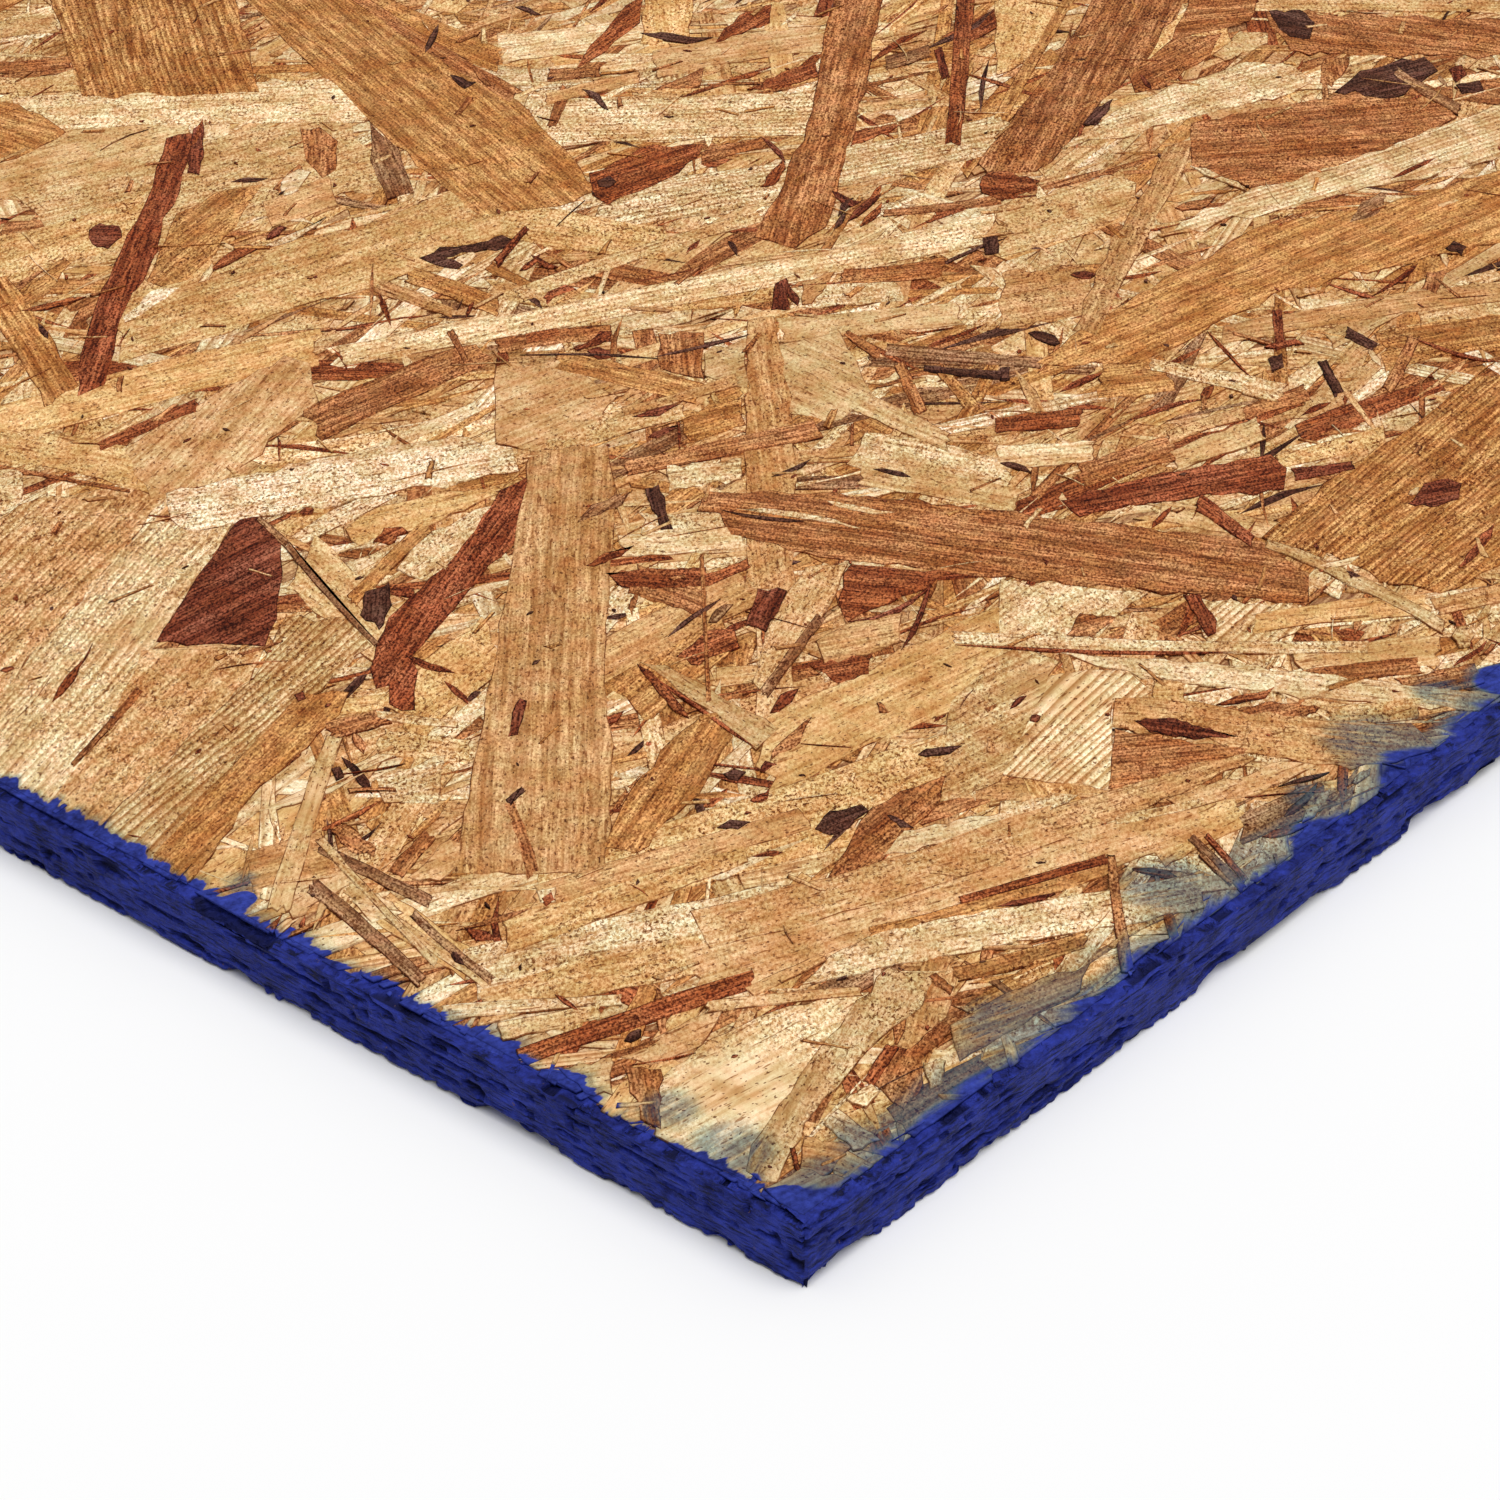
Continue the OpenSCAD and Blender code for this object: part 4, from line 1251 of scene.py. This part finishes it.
class Finish:
    """A material whose nodes are added and wired one call at a time."""

    def __init__(self, name):
        self.material = bpy.data.materials.new(name)
        self.material.use_nodes = True
        self.tree = self.material.node_tree
        self.shader = self.tree.nodes["Principled BSDF"]

    def node(self, kind, inputs=None, output=0, **settings):
        node = self.tree.nodes.new("ShaderNode" + kind)
        for label, value in settings.items():
            setattr(node, label, value)
        for label, value in (inputs or {}).items():
            self.join(node.inputs[label], value)
        return node.outputs[output]

    def join(self, socket, value):
        if isinstance(value, bpy.types.NodeSocket):
            self.tree.links.new(value, socket)
        else:
            socket.default_value = value

    def attribute(self, label, output="Fac"):
        return self.node("Attribute", output=output, attribute_name=label)

    def maths(self, operation, a, b=0.0, c=0.0):
        return self.node("Math", {0: a, 1: b, 2: c}, operation=operation)

    def mix(self, share, a, b, blend="MIX"):
        return self.node("Mix", {0: share, 6: a, 7: b}, output=2, data_type="RGBA", blend_type=blend)

    def scaled(self, colour, factor):
        """A colour with all its channels multiplied by a number."""
        return self.node("VectorMath", {0: colour, "Scale": factor}, operation="SCALE")

    def tinted(self, colour, tint):
        return self.mix(1.0, colour, (*tint, 1.0), "MULTIPLY")

    def step(self, value, low, high, to_low=0.0, to_high=1.0):
        inputs = {"Value": value, "From Min": low, "From Max": high, "To Min": to_low, "To Max": to_high}
        return self.node("MapRange", inputs, interpolation_type="SMOOTHSTEP")

    def ramp(self, value, low, high, to_low, to_high):
        inputs = {"Value": value, "From Min": low, "From Max": high, "To Min": to_low, "To Max": to_high}
        return self.node("MapRange", inputs)

    def stretched(self, vector, along, across):
        return self.node("Mapping", {"Vector": vector, "Scale": (along, across, 1.0)})

    def noise(self, vector, scale=1.0, detail=2.0, roughness=0.5, dimensions="2D"):
        inputs = {"Vector": vector, "Scale": scale, "Detail": detail, "Roughness": roughness}
        return self.node("TexNoise", inputs, noise_dimensions=dimensions)

    def split(self, vector):
        node = self.tree.nodes.new("ShaderNodeSeparateXYZ")
        self.join(node.inputs[0], vector)
        return node.outputs

    def facing(self, vector, depth):
        """Object coordinates turned to the photo's line of sight and drawn out along it."""
        turn = math.atan2(photo.forward.y, photo.forward.x)
        inputs = {"Vector": vector, "Rotation": (0, 0, turn), "Scale": (depth, 1, 1)}
        drawn = self.node("Mapping", inputs, vector_type="TEXTURE")
        return self.node("Mapping", {"Vector": drawn, "Rotation": (0.5, 0.3, 0.6)})

    def grain(self):
        return self.node("UVMap", uv_map="grain")

    def object_mm(self):
        place = self.node("TexCoord", output="Object")
        return self.node("VectorMath", {0: place, "Scale": 1 / MM}, operation="SCALE")


def rgba(colour):
    return (*linear(colour), 1.0)


# Colours of the sealer, as sRGB: uneven, and darker in the lows as painted shade and lighter on the highs as
# painted highlight; as painted shade along strand rims and in hollows; on bare fibres
PAINT_DARK_AND_SHADED = (12, 17, 76)
PAINT_LIGHT_AND_LIT = (51, 66, 175)
PAINT_RIM_SHADE = (16, 16, 50)
PAINT_HOLLOW_SHADE = (10, 12, 44)
PAINT_BARE = (112, 88, 84)
# Colours of the stain past the strip: in the lows with painted shade, on the highs with painted highlight,
# and as a thin film beside the strip
STAIN_SHADED = (24, 38, 72)
STAIN_LIT = (98, 114, 116)
STAIN_FILM = (70, 112, 132)
# Mean width of the painted strip, what it gains along the short edges and loses along the long ones, in mm
STRIP_WIDTH = 3.4
END_GAIN = 0.7
SIDE_LOSS = 0.4
MAT_DARK = (150, 98, 56)
MAT_LIGHT = (222, 180, 126)
FLOOR_TONES = ((0.95, 0.95, 0.95, 1), (0.97, 0.97, 0.97, 1))

# Where sealer has soaked far into the face, in pixels of the photo, with the reach and strength of the patch
STAIN_SPOTS = [
    ((1016, 1025), 80, 1), ((1170, 885), 70, 1), ((1370, 740), 70, 1), ((1315, 795), 45, 1),
    ((730, 1150), 58, 1), ((240, 880), 26, 1), ((860, 1140), 40, 1), ((1440, 690), 40, 1),
    ((668, 1108), 42, 0.8),
]
# Where the painted strip is wider, with the reach of the place and how many millimetres it gains
WIDE_SPOTS = [
    ((1495, 675), 38, 7), ((1395, 762), 45, 3), ((1312, 832), 40, 4.2), ((1150, 950), 36, 2),
    ((560, 1085), 40, 2.5), ((245, 895), 20, 4), ((803, 1206), 40, 5.5),
]
# Where the wood is smooth, with the reach of the place and the share of its speckle that is missing
SMOOTH_SPOTS = [
    ((745, 1085), 85, 0.85), ((310, 800), 70, 0.7), ((160, 640), 80, 0.5), ((1060, 690), 70, 0.7),
]
# Millimetres of the face, about, in one pixel of the photo
PIXEL_MM = 0.139


def edge_distances(f):
    """Distances from the nearest short edge and the nearest long edge, in millimetres."""
    x, y, _ = f.split(f.object_mm())
    from_end = f.maths("SUBTRACT", HALF_LENGTH / MM, f.maths("ABSOLUTE", x))
    from_side = f.maths("SUBTRACT", HALF_WIDTH / MM, f.maths("ABSOLUTE", y))
    return from_end, from_side


def highest_spot(f, place, spots):
    """Highest of the round patches at these pixels of the photo, each with its reach and height."""
    level = f.node("VectorMath", {0: place, 1: (1, 1, 0)}, operation="MULTIPLY")
    highest = 0.0
    for pixel, reach, height in spots:
        x, y = photo.on_face(*pixel)
        middle = (x / MM, y / MM, 0)
        away = f.node("VectorMath", {0: level, 1: middle}, output="Value", operation="DISTANCE")
        spot = f.step(away, 0.3 * reach * PIXEL_MM, 1.3 * reach * PIXEL_MM, height, 0.0)
        highest = f.maths("MAXIMUM", spot, highest)
    return highest


def pale_speckle(f, wood, even, calm):
    """Soft dark and light dots, stronger on some strands than on others."""
    reach = f.maths("MULTIPLY", calm, f.ramp(f.attribute("luck"), 0, 1, 0.32, 0.78))
    share = f.ramp(even, 0.35, 0.65, f.maths("SUBTRACT", 0.5, reach), f.maths("ADD", 0.5, reach))
    return f.mix(share, f.tinted(wood, (0.66, 0.49, 0.33)), f.tinted(wood, (1.18, 1.26, 1.34)))


def dark_speckle(f, wood, grain, place):
    """Sharp light dots and lines along the grain, in lighter and darker bands."""
    sharp = f.noise(f.facing(place, 1.6), 2.6, 1, 0.6, "3D")
    lines = f.noise(f.stretched(grain, 0.15, 2.2), detail=2)
    share = f.ramp(f.maths("MULTIPLY_ADD", sharp, 0.6, f.maths("MULTIPLY", lines, 0.4)), 0.4, 0.62, 0, 1)
    wood = f.mix(share, f.tinted(wood, (0.32, 0.17, 0.08)), f.tinted(wood, (2.1, 2.5, 3)))
    bands = f.step(f.noise(f.stretched(grain, 0.03, 0.5), detail=3), 0.36, 0.6)
    return f.mix(bands, f.tinted(wood, (0.68, 0.56, 0.5)), f.tinted(wood, (1.22, 1.27, 1.32)))


def speckled(f, wood, tone, grain, place, calm):
    """Wood with its fine speckle, and the noise that the speckle of pale strands comes from."""
    dark = f.ramp(f.node("RGBToBW", {"Color": tone}), 0.1, 0.55, 1, 0)
    even = f.noise(f.facing(place, 1.6), 1.9, 2, 0.75, "3D")
    wood = f.mix(dark, pale_speckle(f, wood, even, calm), dark_speckle(f, wood, grain, place))
    often = f.step(f.noise(place, 0.16, 2, dimensions="3D"), 0.32, 0.62, 0.2, 1)
    often = f.maths("MULTIPLY", often, f.step(f.attribute("luck"), 0, 1, 0.5, 1))
    often = f.maths("MULTIPLY", often, calm)
    dots = f.step(f.noise(f.facing(place, 1.5), 1.85, 2, 0.6, "3D"), 0.55, 0.61)
    wood = f.mix(f.maths("MULTIPLY", dots, often), wood, f.tinted(wood, (0.28, 0.14, 0.06)))
    return wood, even


def figured(f, tone, grain, fibre):
    """Growth rings on the strands that show them, and streaks along the grain on all."""
    broad = f.noise(f.stretched(grain, 0.012, 0.22), detail=2)
    sway = f.noise(f.stretched(grain, 0.01, 0.06), detail=1)
    turn = f.maths("FRACT", f.maths("MULTIPLY_ADD", f.split(grain)[1], 0.62, f.maths("MULTIPLY", sway, 7)))
    late = f.maths("MULTIPLY", f.step(turn, 0.25, 0.85), f.step(turn, 0.9, 1.0, 1.0, 0.0))
    rings = f.mix(late, f.tinted(tone, (1.1, 1.15, 1.2)), f.tinted(tone, (0.62, 0.45, 0.3)))
    wood = f.mix(f.attribute("figure"), tone, rings)
    streak = f.step(f.maths("MULTIPLY_ADD", fibre, 0.6, f.maths("MULTIPLY", broad, 0.4)), 0.36, 0.62)
    return f.mix(streak, f.tinted(wood, (0.82, 0.7, 0.56)), f.tinted(wood, (1.1, 1.14, 1.18)))


def blotched(f, wood, place):
    """Clouds, shifts of hue and patches of resin that run on from strand to strand."""
    cloud = f.step(f.noise(place, 0.1, 3, dimensions="3D"), 0.35, 0.65)
    wood = f.mix(cloud, f.tinted(wood, (0.9, 0.8, 0.68)), f.tinted(wood, (1.1, 1.13, 1.18)))
    hue = f.step(f.noise(place, 0.27, 2, dimensions="3D"), 0.35, 0.65)
    wood = f.mix(hue, f.tinted(wood, (1.06, 0.97, 0.96)), f.tinted(wood, (0.98, 1.02, 0.98)))
    resin = f.step(f.noise(place, 0.17, 3, 0.6, "3D"), 0.58, 0.72, 0, 0.7)
    return f.mix(resin, wood, f.tinted(wood, (0.74, 0.56, 0.42)))


def bare_wood(f, grain, place, calm):
    """Colour, fibres and relief of a strand before any sealer, with painted shade in its pits and along its
    rims.
    """
    tone = f.attribute("tone", "Color")
    fibre = f.noise(f.stretched(grain, 0.035, 0.9), detail=4, roughness=0.65)
    wood = blotched(f, figured(f, tone, grain, fibre), place)
    wood, speck = speckled(f, wood, tone, grain, place, calm)
    # Small pits along the grain, sunk in the relief and darkened: painted shade in them.
    pits = f.step(f.noise(f.stretched(grain, 0.9, 1.5), detail=1), 0.69, 0.75, 0, 0.9)
    wood = f.mix(pits, wood, f.tinted(wood, (0.25, 0.14, 0.1)))
    dashes = f.step(f.noise(f.stretched(grain, 0.2, 1.2), detail=2), 0.66, 0.73, 0, 0.85)
    wood = f.mix(dashes, wood, f.tinted(wood, (0.42, 0.25, 0.15)))
    # Broken dark lines along the strands' rims: the wood's darker edges, and painted shade in the gaps
    # beside them.
    line = f.step(f.noise(place, 0.18, 3, dimensions="3D"), 0.38, 0.58, 0.1, 1)
    line = f.maths("MULTIPLY", f.step(f.attribute("rim"), 0, 0.5), line)
    wood = f.mix(line, wood, f.tinted(wood, (0.32, 0.16, 0.09)))
    relief = f.maths("SUBTRACT", f.maths("MULTIPLY_ADD", fibre, 0.6, f.maths("MULTIPLY", speck, 0.5)), pits)
    return wood, fibre, relief


def strip_width(f, grain, place):
    """Width of the painted strip in millimetres, which wanders and frays along the grain."""
    wander = f.maths("SUBTRACT", f.noise(place, 0.08, 3, dimensions="3D"), 0.5)
    clumps = f.maths("SUBTRACT", f.noise(f.stretched(grain, 0.04, 0.3), detail=2), 0.5)
    teeth = f.maths("SUBTRACT", f.noise(f.stretched(grain, 0.06, 0.9), detail=2), 0.5)
    comb = f.maths("MULTIPLY_ADD", clumps, 6.0, f.maths("MULTIPLY", teeth, 1.7))
    strip = f.maths("MULTIPLY_ADD", wander, 5.5, f.maths("ADD", comb, STRIP_WIDTH))
    luck = f.maths("SUBTRACT", f.attribute("luck"), 0.5)
    strip = f.maths("ADD", strip, f.maths("MULTIPLY", luck, 1.2))
    return f.maths("ADD", strip, highest_spot(f, place, WIDE_SPOTS))


def soaked_share(f, grain, place, past_end, past_side):
    """How much sealer has soaked into the wood past the strip, from 0 to 1."""
    soak = f.attribute("soak")
    end_reach = f.maths("MULTIPLY_ADD", soak, 3.0, 1.8)
    side_reach = f.maths("MULTIPLY_ADD", soak, 11.0, 5.5)
    end_stain = f.step(f.maths("DIVIDE", past_end, end_reach), 0.0, 1.0, 0.6, 0.0)
    side_stain = f.step(f.maths("DIVIDE", past_side, side_reach), 0.0, 1.0, 1.0, 0.0)
    streaky = f.noise(f.stretched(grain, 0.12, 0.7), detail=3, roughness=0.65)
    streaky = f.step(streaky, 0.3, 0.62, 0.5, 1.0)
    spots = f.maths("MULTIPLY", highest_spot(f, place, STAIN_SPOTS), streaky)
    return f.maths("MAXIMUM", f.maths("MAXIMUM", end_stain, side_stain), spots)


def stained(f, wood, stain, relief):
    """Wood that the sealer has soaked into: dimmed, then washed over, the wash darker in the relief's lows
    as painted shade and lighter on its highs as painted highlight.
    """
    wood = f.mix(f.step(stain, 0.0, 0.6), wood, f.tinted(wood, (0.62, 0.7, 0.74)))
    # The stain's wash follows the bump relief: painted shade in the lows, painted highlight on the highs.
    wash = f.mix(f.step(relief, 0.35, 0.75), rgba(STAIN_SHADED), rgba(STAIN_LIT))
    return f.mix(f.step(stain, 0.3, 0.95, 0, 0.62), wood, wash)


def strip_paint(f, place, fibre):
    """Sealer where it covers the face, with painted shade in the fibres' lows and along the strands' rims.
    """
    paint, _ = sealer(f, place)
    # Darker where the fibre relief is low: painted shade of the fibres under the sealer.
    paint = f.tinted(f.mix(f.step(fibre, 0.35, 0.6), f.scaled(paint, 0.75), paint), (1.35, 1.3, 1.02))
    # Darker along the strands' rims: painted shade at their edges.
    return f.mix(f.maths("MULTIPLY", f.attribute("rim"), 0.25), paint, rgba(PAINT_RIM_SHADE))


def strand_finish():
    """Pressed strands, and the sealer that runs over and soaks into them along the edges."""
    f = Finish("pressed_strands")
    grain, place = f.grain(), f.object_mm()
    from_end, from_side = edge_distances(f)
    calm = f.maths("SUBTRACT", 1.0, highest_spot(f, place, SMOOTH_SPOTS))
    calm = f.maths("MULTIPLY", calm, f.step(from_end, 4, 24, 0.5, 1))
    wood, fibre, relief = bare_wood(f, grain, place, calm)

    strip = strip_width(f, grain, place)
    past_end = f.maths("SUBTRACT", from_end, f.maths("ADD", strip, END_GAIN))
    past_side = f.maths("SUBTRACT", from_side, f.maths("SUBTRACT", strip, SIDE_LOSS))
    wood = f.mix(f.step(past_end, 1, 14, 0.8, 0), wood, f.tinted(wood, (1.06, 1.14, 1.24)))
    wood = stained(f, wood, soaked_share(f, grain, place, past_end, past_side), relief)
    wood = f.mix(f.step(past_side, 0.6, 2.2, 0.35, 0), wood, rgba(STAIN_FILM))
    paint = strip_paint(f, place, fibre)
    end_cover = f.step(past_end, -0.25, 0.3, 1.0, 0.0)
    side_cover = f.step(past_side, -0.9, 1.5, 1.0, 0.0)
    cover = f.maths("MAXIMUM", end_cover, side_cover)
    f.join(f.shader.inputs["Base Color"], f.mix(cover, wood, paint))
    f.join(f.shader.inputs["Roughness"], f.step(cover, 0, 1, 0.7, 0.55))
    f.shader.inputs["Specular IOR Level"].default_value = 0.1
    bump = f.node("Bump", {"Height": relief, "Strength": 0.3, "Distance": 0.08 * MM})
    f.join(f.shader.inputs["Normal"], bump)
    return f.material


def sealer(f, place):
    """Uneven colour of the blue sealer, darker in the lows of its roughness as painted shade and lighter on
    its highs as painted highlight, and the roughness under it.
    """
    rough = f.noise(f.node("Mapping", {"Vector": place, "Scale": (0.7, 0.7, 1.8)}), 1.0, 5, 0.7, "3D")
    patch = f.noise(place, 0.16, 3, 0.6, "3D")
    # Colour share from the relief's noise and a broad patch noise: uneven sealer, with painted shade in the
    # lows and painted highlight on the highs.
    share = f.step(f.maths("MULTIPLY_ADD", rough, 0.7, f.maths("MULTIPLY", patch, 0.5)), 0.35, 0.85)
    return f.mix(share, rgba(PAINT_DARK_AND_SHADED), rgba(PAINT_LIGHT_AND_LIT)), rough


def edge_finish():
    """Blue sealer over sawn strand ends, with painted shade in its slits and hollows, and thin on a few
    fibres.
    """
    f = Finish("sealed_sawn_edge")
    place = f.object_mm()
    paint, rough = sealer(f, place)
    layers = f.noise(f.node("Mapping", {"Vector": place, "Scale": (0.2, 0.2, 2.4)}), 1.0, 4, 0.65, "3D")
    hollow = f.attribute("hollow")
    # Slits in the layers and deep hollows darkened: painted shade.
    slits = f.step(layers, 0.36, 0.44, 0.9, 0)
    shade = f.maths("MAXIMUM", slits, f.step(hollow, 0.35, 0.95, 0, 0.85))
    paint = f.mix(shade, paint, rgba(PAINT_HOLLOW_SHADE))
    bare = f.step(f.noise(place, 0.9, 2, dimensions="3D"), 0.73, 0.77, 0, 0.6)
    f.join(f.shader.inputs["Base Color"], f.mix(bare, paint, rgba(PAINT_BARE)))
    f.join(f.shader.inputs["Roughness"], f.step(rough, 0.3, 0.7, 0.5, 0.7))
    f.shader.inputs["Specular IOR Level"].default_value = 0.15
    height = f.maths("MULTIPLY_ADD", f.step(layers, 0.34, 0.5), 0.9, rough)
    bump = f.node("Bump", {"Height": height, "Strength": 0.9, "Distance": 0.75 * MM})
    f.join(f.shader.inputs["Normal"], bump)
    return f.material


def mat_finish():
    """Resin-dark strands inside the sheet, seen only in the gaps between face strands."""
    f = Finish("pressed_mat")
    place = f.object_mm()
    fibre = f.noise(f.node("Mapping", {"Vector": place, "Scale": (0.05, 1.2, 1.2)}), 1.0, 3, 0.5, "3D")
    speck = f.ramp(f.noise(place, 1.9, 2, 0.75, "3D"), 0.34, 0.66, 0, 1)
    wood = f.mix(f.step(fibre, 0.35, 0.65), rgba(MAT_DARK), rgba(MAT_LIGHT))
    wood = f.mix(speck, f.tinted(wood, (0.6, 0.4, 0.24)), f.tinted(wood, (1.3, 1.36, 1.4)))
    f.join(f.shader.inputs["Base Color"], wood)
    f.join(f.shader.inputs["Roughness"], f.step(fibre, 0.3, 0.7, 0.7, 0.85))
    bump = f.node("Bump", {"Height": fibre, "Strength": 0.5, "Distance": 0.2 * MM})
    f.join(f.shader.inputs["Normal"], bump)
    return f.material


def floor_finish():
    f = Finish("studio_floor")
    place = f.object_mm()
    cloud = f.noise(place, 0.001, 2, dimensions="3D")
    f.join(f.shader.inputs["Base Color"], f.mix(cloud, *FLOOR_TONES))
    f.shader.inputs["Roughness"].default_value = 0.9
    f.shader.inputs["Specular IOR Level"].default_value = 0.0
    return f.material


# Sheet and studio

MAT_INSET = 5 * MM
MAT_DEPTH = 0.7 * MM
MAT_BEVEL = 1 * MM
# How many pieces the strands of each face are joined into
UPPER_STRIPS = 8
LOWER_STRIPS = 4
FLOOR_SIZE = 40
LIGHT_FROM = Vector((-0.05, -0.37, 0.92))
LIGHT_STRENGTH = 2.12
LIGHT_SPREAD = math.radians(60)
# Strength of the white surroundings as a light and as the background that the camera sees
FILL_STRENGTH = 0.41
BACKGROUND_STRENGTH = 1.0


def pressed_mat(finish):
    """The inside of the sheet, under the face strands and behind the sawn edges."""
    bpy.ops.object.select_all(action="DESELECT")
    bpy.ops.mesh.primitive_cube_add(size=1, location=(0, 0, THICKNESS / 2))
    mat = bpy.context.object
    mat.name = mat.data.name = "pressed_mat"
    mat.scale = (LENGTH - 2 * MAT_INSET, WIDTH - 2 * MAT_INSET, THICKNESS - 2 * MAT_DEPTH)
    bpy.ops.object.transform_apply(location=True, rotation=True, scale=True)
    bpy.ops.object.mode_set(mode="EDIT")
    bpy.ops.mesh.select_all(action="SELECT")
    bpy.ops.mesh.bevel(offset=MAT_BEVEL, segments=2, affect="EDGES")
    bpy.ops.object.mode_set(mode="OBJECT")
    mat.data.materials.append(finish)
    return mat


def turn_over(piece):
    """Turns a face's strands over to lie on the underside."""
    mesh = piece.data
    points = read_points(mesh, "co") * (1, -1, -1) + (0, 0, THICKNESS)
    mesh.vertices.foreach_set("co", points.astype(np.float32).ravel())
    mesh.update()


def studio_floor():
    bpy.ops.mesh.primitive_plane_add(size=FLOOR_SIZE, location=(0, 0, 0))
    floor = bpy.context.object
    floor.name = "studio_floor"
    floor.data.materials.append(floor_finish())


def studio_light():
    """One soft light from above, and white surroundings that light the sheet less than they show."""
    bpy.ops.object.light_add(type="SUN", rotation=LIGHT_FROM.to_track_quat("Z", "Y").to_euler())
    sun = bpy.context.object
    sun.name = "softbox"
    sun.data.energy = LIGHT_STRENGTH
    sun.data.angle = LIGHT_SPREAD
    world = bpy.context.scene.world or bpy.data.worlds.new("studio")
    bpy.context.scene.world = world
    world.use_nodes = True
    nodes, links = world.node_tree.nodes, world.node_tree.links
    background = nodes["Background"]
    background.inputs["Color"].default_value = (1, 1, 1, 1)
    seen = nodes.new("ShaderNodeLightPath")
    strength = nodes.new("ShaderNodeMapRange")
    links.new(seen.outputs["Is Camera Ray"], strength.inputs["Value"])
    strength.inputs["To Min"].default_value = FILL_STRENGTH
    strength.inputs["To Max"].default_value = BACKGROUND_STRENGTH
    links.new(strength.outputs[0], background.inputs["Strength"])


bpy.context.scene.view_settings.view_transform = "Standard"
photo.add_camera()
studio_floor()
studio_light()

strand_wood = strand_finish()
upper_rng = np.random.default_rng(STRAND_SEED)
upper_strands = sheet_strands(upper_rng)
pressed_below(upper_strands, photo)
upper_strands += close_up_strands(upper_rng, photo)
upper_strands += photo_strands(upper_rng, photo)
upper = face_pieces("upper_strands", UPPER_STRIPS, upper_strands, upper_rng, strand_wood)
lower_rng = np.random.default_rng(STRAND_SEED + 1)
lower_strands = sheet_strands(lower_rng, UNDERSIDE_SPACING)
lower = face_pieces("lower_strands", LOWER_STRIPS, lower_strands, lower_rng, strand_wood)
for piece in lower:
    turn_over(piece)
part = BVHTree.FromObject(bpy.data.objects["osb_panel"], bpy.context.evaluated_depsgraph_get())
edge = sealed_edge(np.random.default_rng(EDGE_SEED), part, edge_finish())
mat = pressed_mat(mat_finish())

for piece in [*upper, *lower, edge, mat]:
    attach(piece, "root")
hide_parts("osb_panel")
